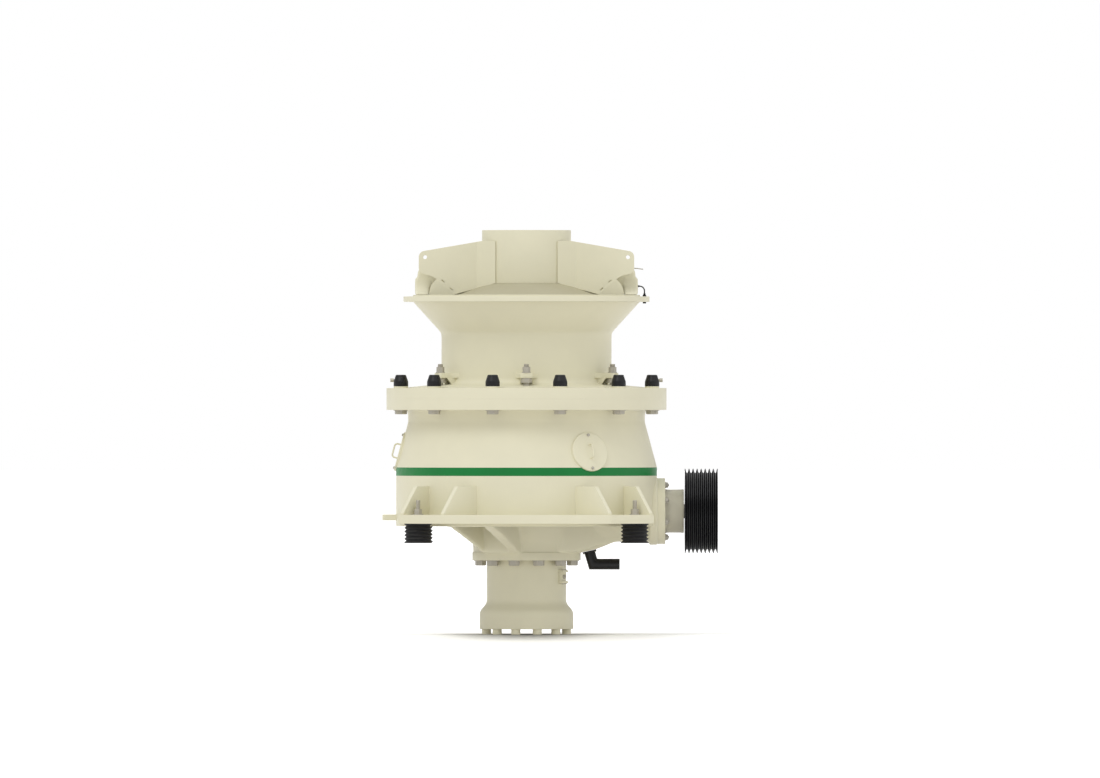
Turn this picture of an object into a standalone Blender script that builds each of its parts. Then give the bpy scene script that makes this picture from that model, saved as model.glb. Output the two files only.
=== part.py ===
"""Cone crusher: hydraulic cylinder, three-arm bottom shell, top shell with a two-arm spider.

Metres, +Z up. The origin lies on the machine's axis, at the underside of the
cylinder's cover; the cover's screw heads reach below it to the ground.
-Y is the front and +X is the drive side.
"""
import math

import bmesh
import bpy
from mathutils import Matrix, Vector

# Seats and running gaps
SEAT_GAP = 0.0003
RUNNING_GAP = 0.010
JOURNAL_GAP = 0.0009

# Facets of round pieces
SIDES_LARGE = 48
SIDES_MEDIUM = 32
SIDES_PULLEY = 28
SIDES_SMALL = 12
SIDES_CAP = 10
SIDES_SCREW = 10
SIDES_ROD = 8

# Hydraulic cylinder and its cover, from the ground up
SCREW_HEAD_HEIGHT = 0.033
SCREW_HEAD_RADIUS = 0.028
SCREW_SET_IN = 0.0345
SCREW_COUNT = 12
COVER_THICKNESS = 0.063
FOOT_RADIUS = 0.2955
FOOT_HEIGHT = 0.030
FOOT_FLARE_HEIGHT = 0.106
FOOT_FLARE_STEPS = 6
FOOT_PROUD = 0.0455
CYLINDER_HEIGHT = 0.370
PORT_BLOCK_WIDTH = 0.060
PORT_BLOCK_HEIGHT = 0.082
PORT_BLOCK_REACH = 0.022
PORT_BLOCK_LEVEL = 0.330
PORT_BLOCK_AZIMUTH = -26.0
PORT_PLATE_REACH = 0.038
PORT_PLATE_THICKNESS = 0.014

# Hub of the bottom shell
HUB_FLANGE_PROUD = 0.0455
HUB_FLANGE_THICKNESS = 0.052
HUB_NECK_SET_IN = 0.003
HUB_NECK_HEIGHT = 0.050
HUB_BOWL_PROUD = 0.079
HUB_BOWL_RISE = 0.263
HUB_BOWL_WALL_HEIGHT = 0.180
HUB_TOP_SET_IN = 0.120
HUB_BODY_HEIGHT = 0.518

# Bottom shell
SHELL_RISE = 0.164
SHELL_RADIUS = 0.822
SHELL_WALL = 0.034
SHELL_CYLINDER_HEIGHT = 0.369
SHELL_CONE_HEIGHT = 0.337
SHELL_TAPER = 0.079
SHELL_NECK_HEIGHT = 0.025
SHELL_NECK_FLARE = 0.010
MAIN_FLANGE_PROUD = 0.060
MAIN_FLANGE_THICKNESS = 0.0692

# Arms between hub and shell
ARM_HUB_WIDTH = 0.262
ARM_SHELL_WIDTH = 0.316
ARM_WEB = 0.050
ARM_ROOF = 0.060
ARM_FOOT_RISE = 0.008
ARM_FOOT_SET_OUT = 0.022
ARM_SHELL_SET_IN = 0.045
ARM_SHELL_DROP = 0.003
ARM_TOP_RISE = 0.330
ARM_AZIMUTHS = {"front": 242.0, "rear": 118.0}

# Pinion housing, shaft and pulley
PINION_RISE = 0.094
TUNNEL_RADIUS = 0.1945
TUNNEL_WEB = 0.200
TUNNEL_WEB_DROP = 0.005
TUNNEL_WEB_RUN = 0.144
TUNNEL_WEB_SLOPE = 13.0
TUNNEL_WEB_RAMP = 27.0
TUNNEL_WEB_SINK = 0.040
PINION_FLANGE_RADIUS = 0.208
PINION_BOSS_DEPTH = 0.060
PINION_BOSS_PROUD = 0.004
PINION_FLANGE_WIDTH = 0.048
TUBE_RADIUS = 0.139
TUBE_LENGTH = 0.117
TUBE_JOURNAL_LENGTH = 0.040
SHAFT_RADIUS = 0.045
SHAFT_PROUD = 0.004
PULLEY_RADIUS = 0.267
PULLEY_GROOVES = 8
GROOVE_PITCH = 0.0255
GROOVE_DEPTH = 0.025
RIDGE_TIP = 0.0046
GROOVE_FLOOR = 0.0052
PULLEY_CLEARANCE = 0.005
PULLEY_RIM = 0.030
PULLEY_RIM_DRAFT = 0.006
PULLEY_WEB = 0.036
PULLEY_HUB_RADIUS = 0.086
PULLEY_HUB_DRAFT = 0.004
PULLEY_HUB_SET_BACK = 0.022
PULLEY_HUB_INNER_SET_BACK = 0.008

# Mounting shelves, gussets and rubber mounts
SHELF_RISE = 0.018
SHELF_THICKNESS = 0.055
SHELF_SIDE_SET_IN = 0.022
SHELF_PROUD = 0.154
SHELF_CHAMFER = 0.271
SHELF_INNER_EDGE = 0.150
GUSSET_THICKNESS = 0.029
GUSSET_HEIGHT = 0.179
GUSSET_TOE_HEIGHT = 0.031
GUSSET_OUTER_AZIMUTH = 41.0
GUSSET_OUTER_BASE = 0.229
GUSSET_OUTER_TOP = 0.102
GUSSET_INNER_AZIMUTH = 66.75
GUSSET_INNER_BASE = 0.286
GUSSET_INNER_TOP = 0.159
GUSSET_SINK = 0.010
GUSSET_ROOT = 0.040
MOUNT_SET_IN = 0.120
MOUNT_RADIUS = 0.088
MOUNT_WAIST = 0.0755
MOUNT_HEIGHT = 0.122
MOUNT_RIDGES = 6
MOUNT_LIP = 0.004
SIDE_LUG_REACH = 0.0865
SIDE_LUG_WIDTH = 0.120
SIDE_LUG_THICKNESS = 0.038
SIDE_LUG_CORNER = 0.025
SIDE_LUG_ROOT = 0.060

# Top shell and its rim
TOP_BORE = 0.455
TOP_RADIUS = 0.5355
TOP_WALL = 0.0455
TOP_FLANGE_FLAT_MARGIN = 0.008
TOP_FLANGE_SLOPE_RUN = 0.028
TOP_FLANGE_SLOPE_RISE = 0.006
TOP_FILLET_RUN = 0.0945
TOP_FILLET_RISE = 0.016
TOP_FILLET_FOOT = 0.030
TOP_FILLET_HEIGHT = 0.025
TOP_SEAM_RISE = 0.046
TOP_BEND_RUN = 0.009
TOP_BEND_RISE = 0.024
TOP_INNER_RISE = 0.010
TOP_CYLINDER_HEIGHT = 0.294
TOP_FLARE_SPREAD = 0.1785
TOP_FLARE_HEIGHT = 0.2024
TOP_FLARE_WALL = 0.054
TOP_LEDGE_RISE = 0.008
RIM_PROUD = 0.061
RIM_THICKNESS = 0.034
RIM_STEP_PROUD = 0.001
RIM_STEP_HEIGHT = 0.010
LUG_COUNT = 6
LUG_WIDTH = 0.086
LUG_PROUD = 0.1135
LUG_THICKNESS = 0.033
LUG_RISE = 0.0618
LUG_ROOT = 0.025
LUG_CORNER = 0.012
LUG_FLARE = 0.034
LUG_FLARE_RUN = 0.024
CAP_COUNT = 12
CAP_SET_IN = 0.063
CAP_RADIUS = 0.046
CAP_TOP_RADIUS = 0.031
CAP_HEIGHT = 0.083
CAP_TAPER_START = 0.041
CAP_CHAMFER = 0.006
CAP_FIRST_AZIMUTH = 15.0

# Crushing chamber
CONCAVE_HEIGHT = 0.345
CONCAVE_WAIST_HEIGHT = 0.214
CONCAVE_TOP_WALL = 0.030
CONCAVE_WAIST_WALL = 0.075
CONCAVE_BASE_WALL = 0.048
CHAMBER_GAP = 0.037
MANTLE_SHOULDER_SET_IN = 0.020
MANTLE_MID_SET_IN = 0.075
MANTLE_TOP_RADIUS = 0.170
MANTLE_SKIRT_HEIGHT = 0.160
MANTLE_RIM_HEIGHT = 0.040
MANTLE_RIM_SET_IN = 0.005
MANTLE_SHOULDER_RISE = 0.140
MANTLE_MID_RISE = 0.340
MANTLE_HEIGHT = 0.780
MAIN_SHAFT_RADIUS = 0.100

# Spider, its guards and shields
SPIDER_HUB_RADIUS = 0.240
SPIDER_HUB_DROP = 0.085
SPIDER_ARM_HALF_WIDTH = 0.120
SPIDER_ARM_SET_IN = 0.015
SPIDER_FOOT_SET_IN = 0.004
SPIDER_FOOT_LENGTH = 0.106
SPIDER_FOOT_HEIGHT = 0.026
SPIDER_ARM_TOP = 0.311
SPIDER_ARM_TOP_INNER = 0.200
SPIDER_ARM_END_TOP = 0.181
SPIDER_ARM_BOTTOM = 0.092
SPIDER_ARM_SHOULDER = 0.090
SPIDER_ARCH_RUN = 0.120
SPIDER_ARCH_STEPS = 4
SPIDER_CAST_EDGE = 0.018
GUARD_RADIUS = 0.280
GUARD_WALL = 0.010
GUARD_RISE = 0.074
GUARD_HEIGHT = 0.334
GUARD_CHAMFER = 0.004
SKIRT_RADIUS = 0.500
SKIRT_DROP = 0.086
SKIRT_WALL = 0.012
SKIRT_DRAFT = 0.004
SHIELD_PLATE = 0.010
SHIELD_ROOT_DEPTH = 0.201
SHIELD_ROOT_WIDTH = 0.195
SHIELD_FOLD_WIDTH = 0.312
SHIELD_FOLD_DEPTH = 0.158
SHIELD_SET_IN = 0.038
SHIELD_END_DEPTH = 0.232
SHIELD_TOP = 0.339
SHIELD_END_TOP = 0.274
SHIELD_CORNER = 0.038
SHIELD_HOLE_RADIUS = 0.015
SHIELD_HOLE_RISE = 0.238
SHIELD_FLAP_RISE = 0.169
SHIELD_NOTCH_RISE = 0.093
SHIELD_NOTCH_SET_IN = 0.113
SHIELD_FOOT_SET_IN = 0.065
SHIELD_TIP = 0.014
SHIELD_ROOT_MARGIN = 0.060

# Inspection hatches
HATCH_AZIMUTHS = {"front_right": -60.0, "left": 180.0, "rear_right": 60.0}
HATCH_RADIUS = 0.126
HATCH_SIDES = 16
HATCH_LEVEL_DROP = 0.238
HATCH_PROUD = 0.013
HATCH_DEPTH = 0.060
HANDLE_SPAN = 0.088
HANDLE_REACH = 0.034
HANDLE_ROD = 0.0055
HANDLE_CORNER = 0.018
HANDLE_SINK = 0.004

# Drain elbow, held on the tunnel's sloped web
ELBOW_RADIUS = 0.0345
ELBOW_BORE = 0.027
ELBOW_BORE_DEPTH = 0.050
ELBOW_PLACE = 0.055
ELBOW_CORNER_SET_OUT = 0.024
ELBOW_DROP = 0.084
ELBOW_STUB_LENGTH = 0.168
ELBOW_PAD_LENGTH = 0.090
ELBOW_PAD_WIDTH = 0.084
ELBOW_PAD_THICKNESS = 0.009

# Grease hose
HOSE_RADIUS = 0.004
HOSE_BEND = 0.030
HOSE_STAND_OFF = 0.028
HOSE_START_RISE = 0.055
HOSE_SPREAD = 0.015

# Radii and places that follow from the sizes above
CYLINDER_RADIUS = FOOT_RADIUS - FOOT_PROUD
SCREW_CIRCLE = FOOT_RADIUS - SCREW_SET_IN
HUB_FLANGE_RADIUS = FOOT_RADIUS + HUB_FLANGE_PROUD
HUB_NECK_RADIUS = HUB_FLANGE_RADIUS - HUB_NECK_SET_IN
HUB_BOWL_RADIUS = HUB_FLANGE_RADIUS + HUB_BOWL_PROUD
HUB_TOP_RADIUS = HUB_BOWL_RADIUS - HUB_TOP_SET_IN
SHELL_BORE = SHELL_RADIUS - SHELL_WALL
SHELL_NECK_RADIUS = SHELL_RADIUS - SHELL_TAPER
NECK_BORE = SHELL_NECK_RADIUS - SHELL_WALL
MAIN_FLANGE_RADIUS = SHELL_RADIUS + MAIN_FLANGE_PROUD
SHELF_HALF_WIDTH = SHELL_RADIUS - SHELF_SIDE_SET_IN
SHELF_DEPTH = SHELL_RADIUS + SHELF_PROUD
MOUNT_PLACE = SHELF_HALF_WIDTH - MOUNT_SET_IN
CAP_CIRCLE = MAIN_FLANGE_RADIUS - CAP_SET_IN
TOP_FLANGE_FLAT_RADIUS = CAP_CIRCLE - CAP_RADIUS - TOP_FLANGE_FLAT_MARGIN
TOP_FLANGE_SLOPE_RADIUS = TOP_FLANGE_FLAT_RADIUS - TOP_FLANGE_SLOPE_RUN
TOP_FILLET_RADIUS = TOP_RADIUS + TOP_FILLET_RUN
TOP_WALL_BORE = TOP_RADIUS - TOP_WALL
TOP_FLARE_RADIUS = TOP_RADIUS + TOP_FLARE_SPREAD
LUG_REACH = TOP_RADIUS + LUG_PROUD
RIM_RADIUS = TOP_FLARE_RADIUS + RIM_PROUD
RIM_STEP_RADIUS = TOP_FLARE_RADIUS + RIM_STEP_PROUD
MANTLE_BASE_RADIUS = TOP_WALL_BORE - SEAT_GAP - CONCAVE_BASE_WALL - CHAMBER_GAP
MANTLE_SHOULDER_RADIUS = MANTLE_BASE_RADIUS - MANTLE_SHOULDER_SET_IN
MANTLE_MID_RADIUS = MANTLE_BASE_RADIUS - MANTLE_MID_SET_IN
SPIDER_ARM_REACH = RIM_STEP_RADIUS - SPIDER_ARM_SET_IN
SPIDER_FOOT_REACH = RIM_STEP_RADIUS - SPIDER_FOOT_SET_IN
SPIDER_FOOT_INNER = SPIDER_FOOT_REACH - SPIDER_FOOT_LENGTH
SHIELD_REACH = RIM_STEP_RADIUS - SHIELD_SET_IN
SHIELD_HOLE_PLACE = SHIELD_REACH - SHIELD_CORNER

# Levels that follow from the sizes above
COVER_BOTTOM = 0.0
COVER_TOP = COVER_BOTTOM + COVER_THICKNESS
CYLINDER_BOTTOM = COVER_TOP + SEAT_GAP
CYLINDER_TOP = COVER_TOP + CYLINDER_HEIGHT
PORT_BLOCK_BOTTOM = PORT_BLOCK_LEVEL - PORT_BLOCK_HEIGHT / 2.0
PORT_BLOCK_TOP = PORT_BLOCK_LEVEL + PORT_BLOCK_HEIGHT / 2.0
HUB_BOTTOM = CYLINDER_TOP + SEAT_GAP
HUB_FLANGE_TOP = CYLINDER_TOP + HUB_FLANGE_THICKNESS
HUB_NECK_TOP = HUB_FLANGE_TOP + HUB_NECK_HEIGHT
HUB_BOWL_TOP = HUB_FLANGE_TOP + HUB_BOWL_RISE
SHELL_BOTTOM = HUB_FLANGE_TOP + SHELL_RISE
SHELL_SHOULDER = SHELL_BOTTOM + SHELL_CYLINDER_HEIGHT
SHELL_NECK = SHELL_SHOULDER + SHELL_CONE_HEIGHT
FLANGE_BOTTOM = SHELL_NECK + SHELL_NECK_HEIGHT
FLANGE_JOINT = FLANGE_BOTTOM + MAIN_FLANGE_THICKNESS
TOP_BOTTOM = FLANGE_JOINT + SEAT_GAP
FLANGE_TOP = FLANGE_JOINT + MAIN_FLANGE_THICKNESS
TOP_SEAM = FLANGE_TOP + TOP_SEAM_RISE
TOP_FLARE_START = TOP_SEAM + TOP_CYLINDER_HEIGHT
RIM_BOTTOM = TOP_FLARE_START + TOP_FLARE_HEIGHT
RIM_TOP = RIM_BOTTOM + RIM_THICKNESS
STEP_TOP = RIM_TOP + RIM_STEP_HEIGHT
SPIDER_BOTTOM = STEP_TOP + SEAT_GAP
GUARD_BOTTOM = STEP_TOP + GUARD_RISE
GUARD_TOP = GUARD_BOTTOM + GUARD_HEIGHT
CONCAVE_BOTTOM = FLANGE_TOP + TOP_LEDGE_RISE
SHELF_BOTTOM = SHELL_BOTTOM + SHELF_RISE
SHELF_TOP = SHELF_BOTTOM + SHELF_THICKNESS
PINION_LEVEL = SHELL_BOTTOM + PINION_RISE
HUB_TOP = SHELL_BOTTOM + HUB_BODY_HEIGHT
RIM_BORE = TOP_FLARE_RADIUS - TOP_FLARE_WALL
PINION_BOSS_END = SHELL_RADIUS + PINION_BOSS_PROUD
PINION_FLANGE_INNER = PINION_BOSS_END + SEAT_GAP
PINION_FLANGE_OUTER = PINION_FLANGE_INNER + PINION_FLANGE_WIDTH
TUBE_END = PINION_FLANGE_OUTER + TUBE_LENGTH
PULLEY_INNER = TUBE_END + PULLEY_CLEARANCE
PULLEY_WIDTH = PULLEY_GROOVES * GROOVE_PITCH + RIDGE_TIP
PULLEY_OUTER = PULLEY_INNER + PULLEY_WIDTH

MATERIALS = {
    "cream_paint": ((0.760, 0.730, 0.555), 0.45, 0.0),
    "khaki_paint": ((0.400, 0.380, 0.270), 0.55, 0.0),
    "tube_paint": ((0.380, 0.340, 0.260), 0.50, 0.0),
    "black_rubber": ((0.012, 0.012, 0.013), 0.65, 0.0),
    "black_plastic": ((0.012, 0.012, 0.013), 0.40, 0.0),
    "pulley_iron": ((0.010, 0.010, 0.011), 0.45, 0.3),
    "shaft_steel": ((0.450, 0.430, 0.400), 0.30, 1.0),
    "manganese_steel": ((0.190, 0.180, 0.170), 0.50, 0.9),
}


def clear_scene():
    for item in list(bpy.data.objects):
        bpy.data.objects.remove(item, do_unlink=True)


def make_material(name, base, roughness, metallic):
    made = bpy.data.materials.new(name)
    made.use_nodes = True
    shader = made.node_tree.nodes["Principled BSDF"]
    shader.inputs["Base Color"].default_value = (*base, 1.0)
    shader.inputs["Roughness"].default_value = roughness
    shader.inputs["Metallic"].default_value = metallic
    return made


def add_object(name, form, slot, origin=(0.0, 0.0, 0.0)):
    """Put a bmesh into the scene as one smooth-shaded object with its own material."""
    bmesh.ops.translate(form, vec=-Vector(origin), verts=form.verts)
    mesh = bpy.data.meshes.new(name)
    form.to_mesh(mesh)
    form.free()
    mesh.shade_smooth()
    mesh.set_sharp_from_angle(angle=math.radians(32.0))
    item = bpy.data.objects.new(name, mesh)
    item.location = origin
    bpy.context.scene.collection.objects.link(item)
    mesh.materials.append(make_material(name, *MATERIALS[slot]))
    return item


def shape(item, form, operation):
    """Cut, join or trim an object with a hidden solid."""
    mesh = bpy.data.meshes.new(item.name + "_tool")
    form.to_mesh(mesh)
    form.free()
    tool = bpy.data.objects.new(item.name + "_tool", mesh)
    tool.hide_render = True
    tool.display_type = "WIRE"
    bpy.context.scene.collection.objects.link(tool)
    step = item.modifiers.new(operation.title(), "BOOLEAN")
    step.operation = operation
    step.solver = "EXACT"
    step.object = tool
    return item


def lathe(profile, sides, along="Z"):
    """Turn a list of (radius, height) points; it closes on itself or on the axis."""
    form = bmesh.new()
    points = [form.verts.new((radius, 0.0, height)) for radius, height in profile]
    edges = [form.edges.new(pair) for pair in zip(points, points[1:])]
    if profile[0][0] > 0.0:
        edges.append(form.edges.new((points[-1], points[0])))
    bmesh.ops.spin(form, geom=points + edges, cent=(0, 0, 0), axis=(0, 0, 1),
                   angle=2.0 * math.pi, steps=sides, use_merge=True)
    bmesh.ops.remove_doubles(form, verts=form.verts, dist=1e-6)
    bmesh.ops.recalc_face_normals(form, faces=form.faces)
    if along == "X":
        turn = Matrix.Rotation(math.radians(90.0), 4, "Y")
        bmesh.ops.transform(form, matrix=turn, verts=form.verts)
    return form


def prism(outline, low, high, across="Z"):
    """Extrude a flat outline: (x, y) up Z, or (x, z) along Y."""
    form = bmesh.new()
    if across == "Z":
        points = [form.verts.new((u, v, low)) for u, v in outline]
        rise = Vector((0.0, 0.0, high - low))
    else:
        points = [form.verts.new((u, low, v)) for u, v in outline]
        rise = Vector((0.0, high - low, 0.0))
    face = form.faces.new(points)
    grown = bmesh.ops.extrude_face_region(form, geom=[face])
    moved = [item for item in grown["geom"] if isinstance(item, bmesh.types.BMVert)]
    bmesh.ops.translate(form, vec=rise, verts=moved)
    bmesh.ops.recalc_face_normals(form, faces=form.faces)
    return form


def block(low, high):
    outline = [(low[0], low[1]), (high[0], low[1]), (high[0], high[1]), (low[0], high[1])]
    return prism(outline, low[2], high[2])


def rod(radius, low, high, sides, along="Z"):
    return lathe([(0.0, low), (radius, low), (radius, high), (0.0, high)], sides, along)


def tube(path, radius, sides):
    """Sweep a circle along a route, with flat ends."""
    form = bmesh.new()
    route = [Vector(point) for point in path]
    rings = []
    side = Vector((0.0, 1.0, 0.0))
    for index, point in enumerate(route):
        ahead = route[min(index + 1, len(route) - 1)]
        behind = route[max(index - 1, 0)]
        heading = (ahead - behind).normalized()
        across = side.cross(heading).normalized()
        level = heading.cross(across).normalized()
        stretch = 1.0
        if 0 < index < len(route) - 1:
            first = (point - behind).normalized()
            stretch = 1.0 / max(0.5, first.dot(heading))
        ring = []
        for step in range(sides):
            angle = 2.0 * math.pi * step / sides
            offset = across * (radius * stretch * math.cos(angle)) + level * (radius * math.sin(angle))
            ring.append(form.verts.new(point + offset))
        rings.append(ring)
    for first, second in zip(rings, rings[1:]):
        for step in range(sides):
            after = (step + 1) % sides
            form.faces.new((first[step], first[after], second[after], second[step]))
    form.faces.new(list(reversed(rings[0])))
    form.faces.new(rings[-1])
    bmesh.ops.recalc_face_normals(form, faces=form.faces)
    return form


def add_form(form, other):
    """Add another solid's faces to a bmesh."""
    mesh = bpy.data.meshes.new("joined")
    other.to_mesh(mesh)
    other.free()
    form.from_mesh(mesh)
    bpy.data.meshes.remove(mesh)
    return form


def turned(form, degrees):
    """Turn a solid about the machine's axis."""
    turn = Matrix.Rotation(math.radians(degrees), 4, "Z")
    bmesh.ops.transform(form, matrix=turn, verts=form.verts)
    return form


def moved(form, offset):
    bmesh.ops.translate(form, vec=Vector(offset), verts=form.verts)
    return form


def around(make, count, first=0.0):
    """Repeat a solid round the machine's axis as one mesh."""
    form = bmesh.new()
    for index in range(count):
        add_form(form, turned(make(), first + 360.0 * index / count))
    return form


def arc(centre, radius, start, end, steps):
    points = []
    for index in range(steps + 1):
        angle = math.radians(start + (end - start) * index / steps)
        points.append((centre[0] + radius * math.cos(angle), centre[1] + radius * math.sin(angle)))
    return points


def hydraulic_cylinder():
    sink = COVER_THICKNESS / 2.0
    cover = add_object("cylinder_cover", rod(FOOT_RADIUS, COVER_BOTTOM, COVER_TOP, SIDES_MEDIUM),
                       "cream_paint")

    def screw_head():
        head = rod(SCREW_HEAD_RADIUS, COVER_BOTTOM - SCREW_HEAD_HEIGHT, COVER_BOTTOM + sink, SIDES_SCREW)
        return moved(head, (SCREW_CIRCLE, 0.0, 0.0))

    shape(cover, around(screw_head, SCREW_COUNT, 180.0 / SCREW_COUNT), "UNION")
    profile = [(0.0, CYLINDER_BOTTOM), (FOOT_RADIUS, CYLINDER_BOTTOM)]
    for step in range(FOOT_FLARE_STEPS + 1):
        share = step / FOOT_FLARE_STEPS
        ease = (1.0 - math.cos(share * math.pi)) / 2.0
        level = CYLINDER_BOTTOM + FOOT_HEIGHT + FOOT_FLARE_HEIGHT * share
        profile.append((FOOT_RADIUS - FOOT_PROUD * ease, level))
    profile += [(CYLINDER_RADIUS, CYLINDER_TOP), (0.0, CYLINDER_TOP)]
    add_object("hydraulic_cylinder", lathe(profile, SIDES_MEDIUM), "cream_paint")
    port_block()


def port_block():
    """Valve block with an end plate above and below, shaped to the cylinder's wall."""
    inner = CYLINDER_RADIUS - PORT_BLOCK_REACH
    outer = CYLINDER_RADIUS + PORT_BLOCK_REACH
    reach = CYLINDER_RADIUS + PORT_PLATE_REACH
    half = PORT_BLOCK_WIDTH / 2.0
    low = PORT_BLOCK_BOTTOM + PORT_PLATE_THICKNESS
    high = PORT_BLOCK_TOP - PORT_PLATE_THICKNESS
    side = [(inner, PORT_BLOCK_BOTTOM), (reach, PORT_BLOCK_BOTTOM), (reach, low), (outer, low), (outer, high),
            (reach, high), (reach, PORT_BLOCK_TOP), (inner, PORT_BLOCK_TOP)]
    form = turned(prism(side, -half, half, "Y"), PORT_BLOCK_AZIMUTH)
    item = add_object("cylinder_port_block", form, "cream_paint")
    shape(item, rod(CYLINDER_RADIUS + SEAT_GAP, COVER_TOP, HUB_TOP, SIDES_MEDIUM), "DIFFERENCE")


def hub_profile(grow=0.0):
    """The hub's outline, or one grown all round to cut a seat with a gap."""
    return [(0.0, HUB_BOTTOM - grow), (HUB_FLANGE_RADIUS + grow, HUB_BOTTOM - grow),
            (HUB_FLANGE_RADIUS + grow, HUB_FLANGE_TOP + grow), (HUB_NECK_RADIUS + grow, HUB_FLANGE_TOP + grow),
            (HUB_NECK_RADIUS + grow, HUB_NECK_TOP), (HUB_BOWL_RADIUS + grow, HUB_BOWL_TOP),
            (HUB_BOWL_RADIUS + grow, HUB_BOWL_TOP + HUB_BOWL_WALL_HEIGHT),
            (HUB_TOP_RADIUS + grow, HUB_TOP + grow), (0.0, HUB_TOP + grow)]


def shell_outer_profile(grow):
    return [(0.0, SHELL_BOTTOM - grow), (SHELL_RADIUS + grow, SHELL_BOTTOM - grow),
            (SHELL_RADIUS + grow, SHELL_SHOULDER), (SHELL_NECK_RADIUS + grow, SHELL_NECK),
            (SHELL_NECK_RADIUS + grow, FLANGE_BOTTOM), (0.0, FLANGE_BOTTOM)]


def bottom_shell():
    add_object("shell_hub", lathe(hub_profile(), SIDES_MEDIUM), "cream_paint")
    wall = [(SHELL_BORE, SHELL_BOTTOM), (SHELL_RADIUS, SHELL_BOTTOM), (SHELL_RADIUS, SHELL_SHOULDER),
            (SHELL_BORE, SHELL_SHOULDER)]
    shell = add_object("bottom_shell", lathe(wall, SIDES_LARGE), "cream_paint")
    low = SHELL_SHOULDER + SEAT_GAP
    cone = [(SHELL_BORE, low), (SHELL_RADIUS, low), (SHELL_NECK_RADIUS, SHELL_NECK), (NECK_BORE, SHELL_NECK)]
    add_object("shell_cone", lathe(cone, SIDES_LARGE), "cream_paint")
    low = SHELL_NECK + SEAT_GAP
    flange = [(NECK_BORE, low), (SHELL_NECK_RADIUS, low),
              (SHELL_NECK_RADIUS + SHELL_NECK_FLARE, FLANGE_BOTTOM), (MAIN_FLANGE_RADIUS, FLANGE_BOTTOM),
              (MAIN_FLANGE_RADIUS, FLANGE_JOINT), (NECK_BORE, FLANGE_JOINT)]
    add_object("shell_flange", lathe(flange, SIDES_LARGE), "cream_paint")
    boss = rod(PINION_FLANGE_RADIUS, SHELL_RADIUS - PINION_BOSS_DEPTH, PINION_BOSS_END, SIDES_MEDIUM, "X")
    shape(shell, moved(boss, (0.0, 0.0, PINION_LEVEL)), "UNION")
    mouth = rod(TUNNEL_RADIUS + SEAT_GAP, 0.0, MAIN_FLANGE_RADIUS, SIDES_MEDIUM, "X")
    shape(shell, moved(mouth, (0.0, 0.0, PINION_LEVEL)), "DIFFERENCE")
    for name, azimuth in ARM_AZIMUTHS.items():
        shell_arm("shell_arm_" + name, azimuth)


def shell_arm(name, azimuth):
    """An arm of inverted-U section, trimmed to the hub and to the shell's bore."""
    inner = HUB_TOP_RADIUS
    low_hub = HUB_FLANGE_TOP + ARM_FOOT_RISE
    low_shell = SHELL_BOTTOM - ARM_SHELL_DROP
    top = SHELL_BOTTOM + ARM_TOP_RISE
    side = [(inner, low_hub), (HUB_FLANGE_RADIUS, low_hub), (SHELL_BORE - ARM_SHELL_SET_IN, low_shell),
            (SHELL_RADIUS, low_shell), (SHELL_RADIUS, top), (inner, top)]
    form = prism(side, -ARM_SHELL_WIDTH, ARM_SHELL_WIDTH, "Y")
    item = add_object(name, turned(form, azimuth), "cream_paint")
    plan = prism(arm_plan(0.0, inner, SHELL_RADIUS), HUB_BOTTOM, FLANGE_TOP)
    shape(item, turned(plan, azimuth), "INTERSECT")
    recess = arm_plan(ARM_WEB, HUB_FLANGE_RADIUS + ARM_FOOT_SET_OUT, SHELL_BORE - ARM_SHELL_SET_IN)
    shape(item, turned(prism(recess, HUB_BOTTOM, top - ARM_ROOF), azimuth), "DIFFERENCE")
    shape(item, lathe(hub_profile(SEAT_GAP), SIDES_MEDIUM), "DIFFERENCE")
    keep = rod(SHELL_BORE - SEAT_GAP, COVER_TOP, FLANGE_TOP, SIDES_LARGE)
    shape(item, keep, "INTERSECT")


def arm_plan(wall, start, end):
    """Plan of a tapered arm, set in by a wall, between two distances from the axis."""
    spread = (ARM_SHELL_WIDTH - ARM_HUB_WIDTH) / 2.0 / (SHELL_BORE - HUB_FLANGE_RADIUS)
    near = ARM_HUB_WIDTH / 2.0 - wall + spread * (start - HUB_FLANGE_RADIUS)
    far = ARM_HUB_WIDTH / 2.0 - wall + spread * (end - HUB_FLANGE_RADIUS)
    return [(start, -near), (end, -far), (end, far), (start, near)]


def web_line(distance):
    """Height of the tunnel web's sloped underside at a distance beyond the hub's flange."""
    return HUB_FLANGE_TOP - TUNNEL_WEB_DROP + distance * math.tan(math.radians(TUNNEL_WEB_SLOPE))


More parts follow.
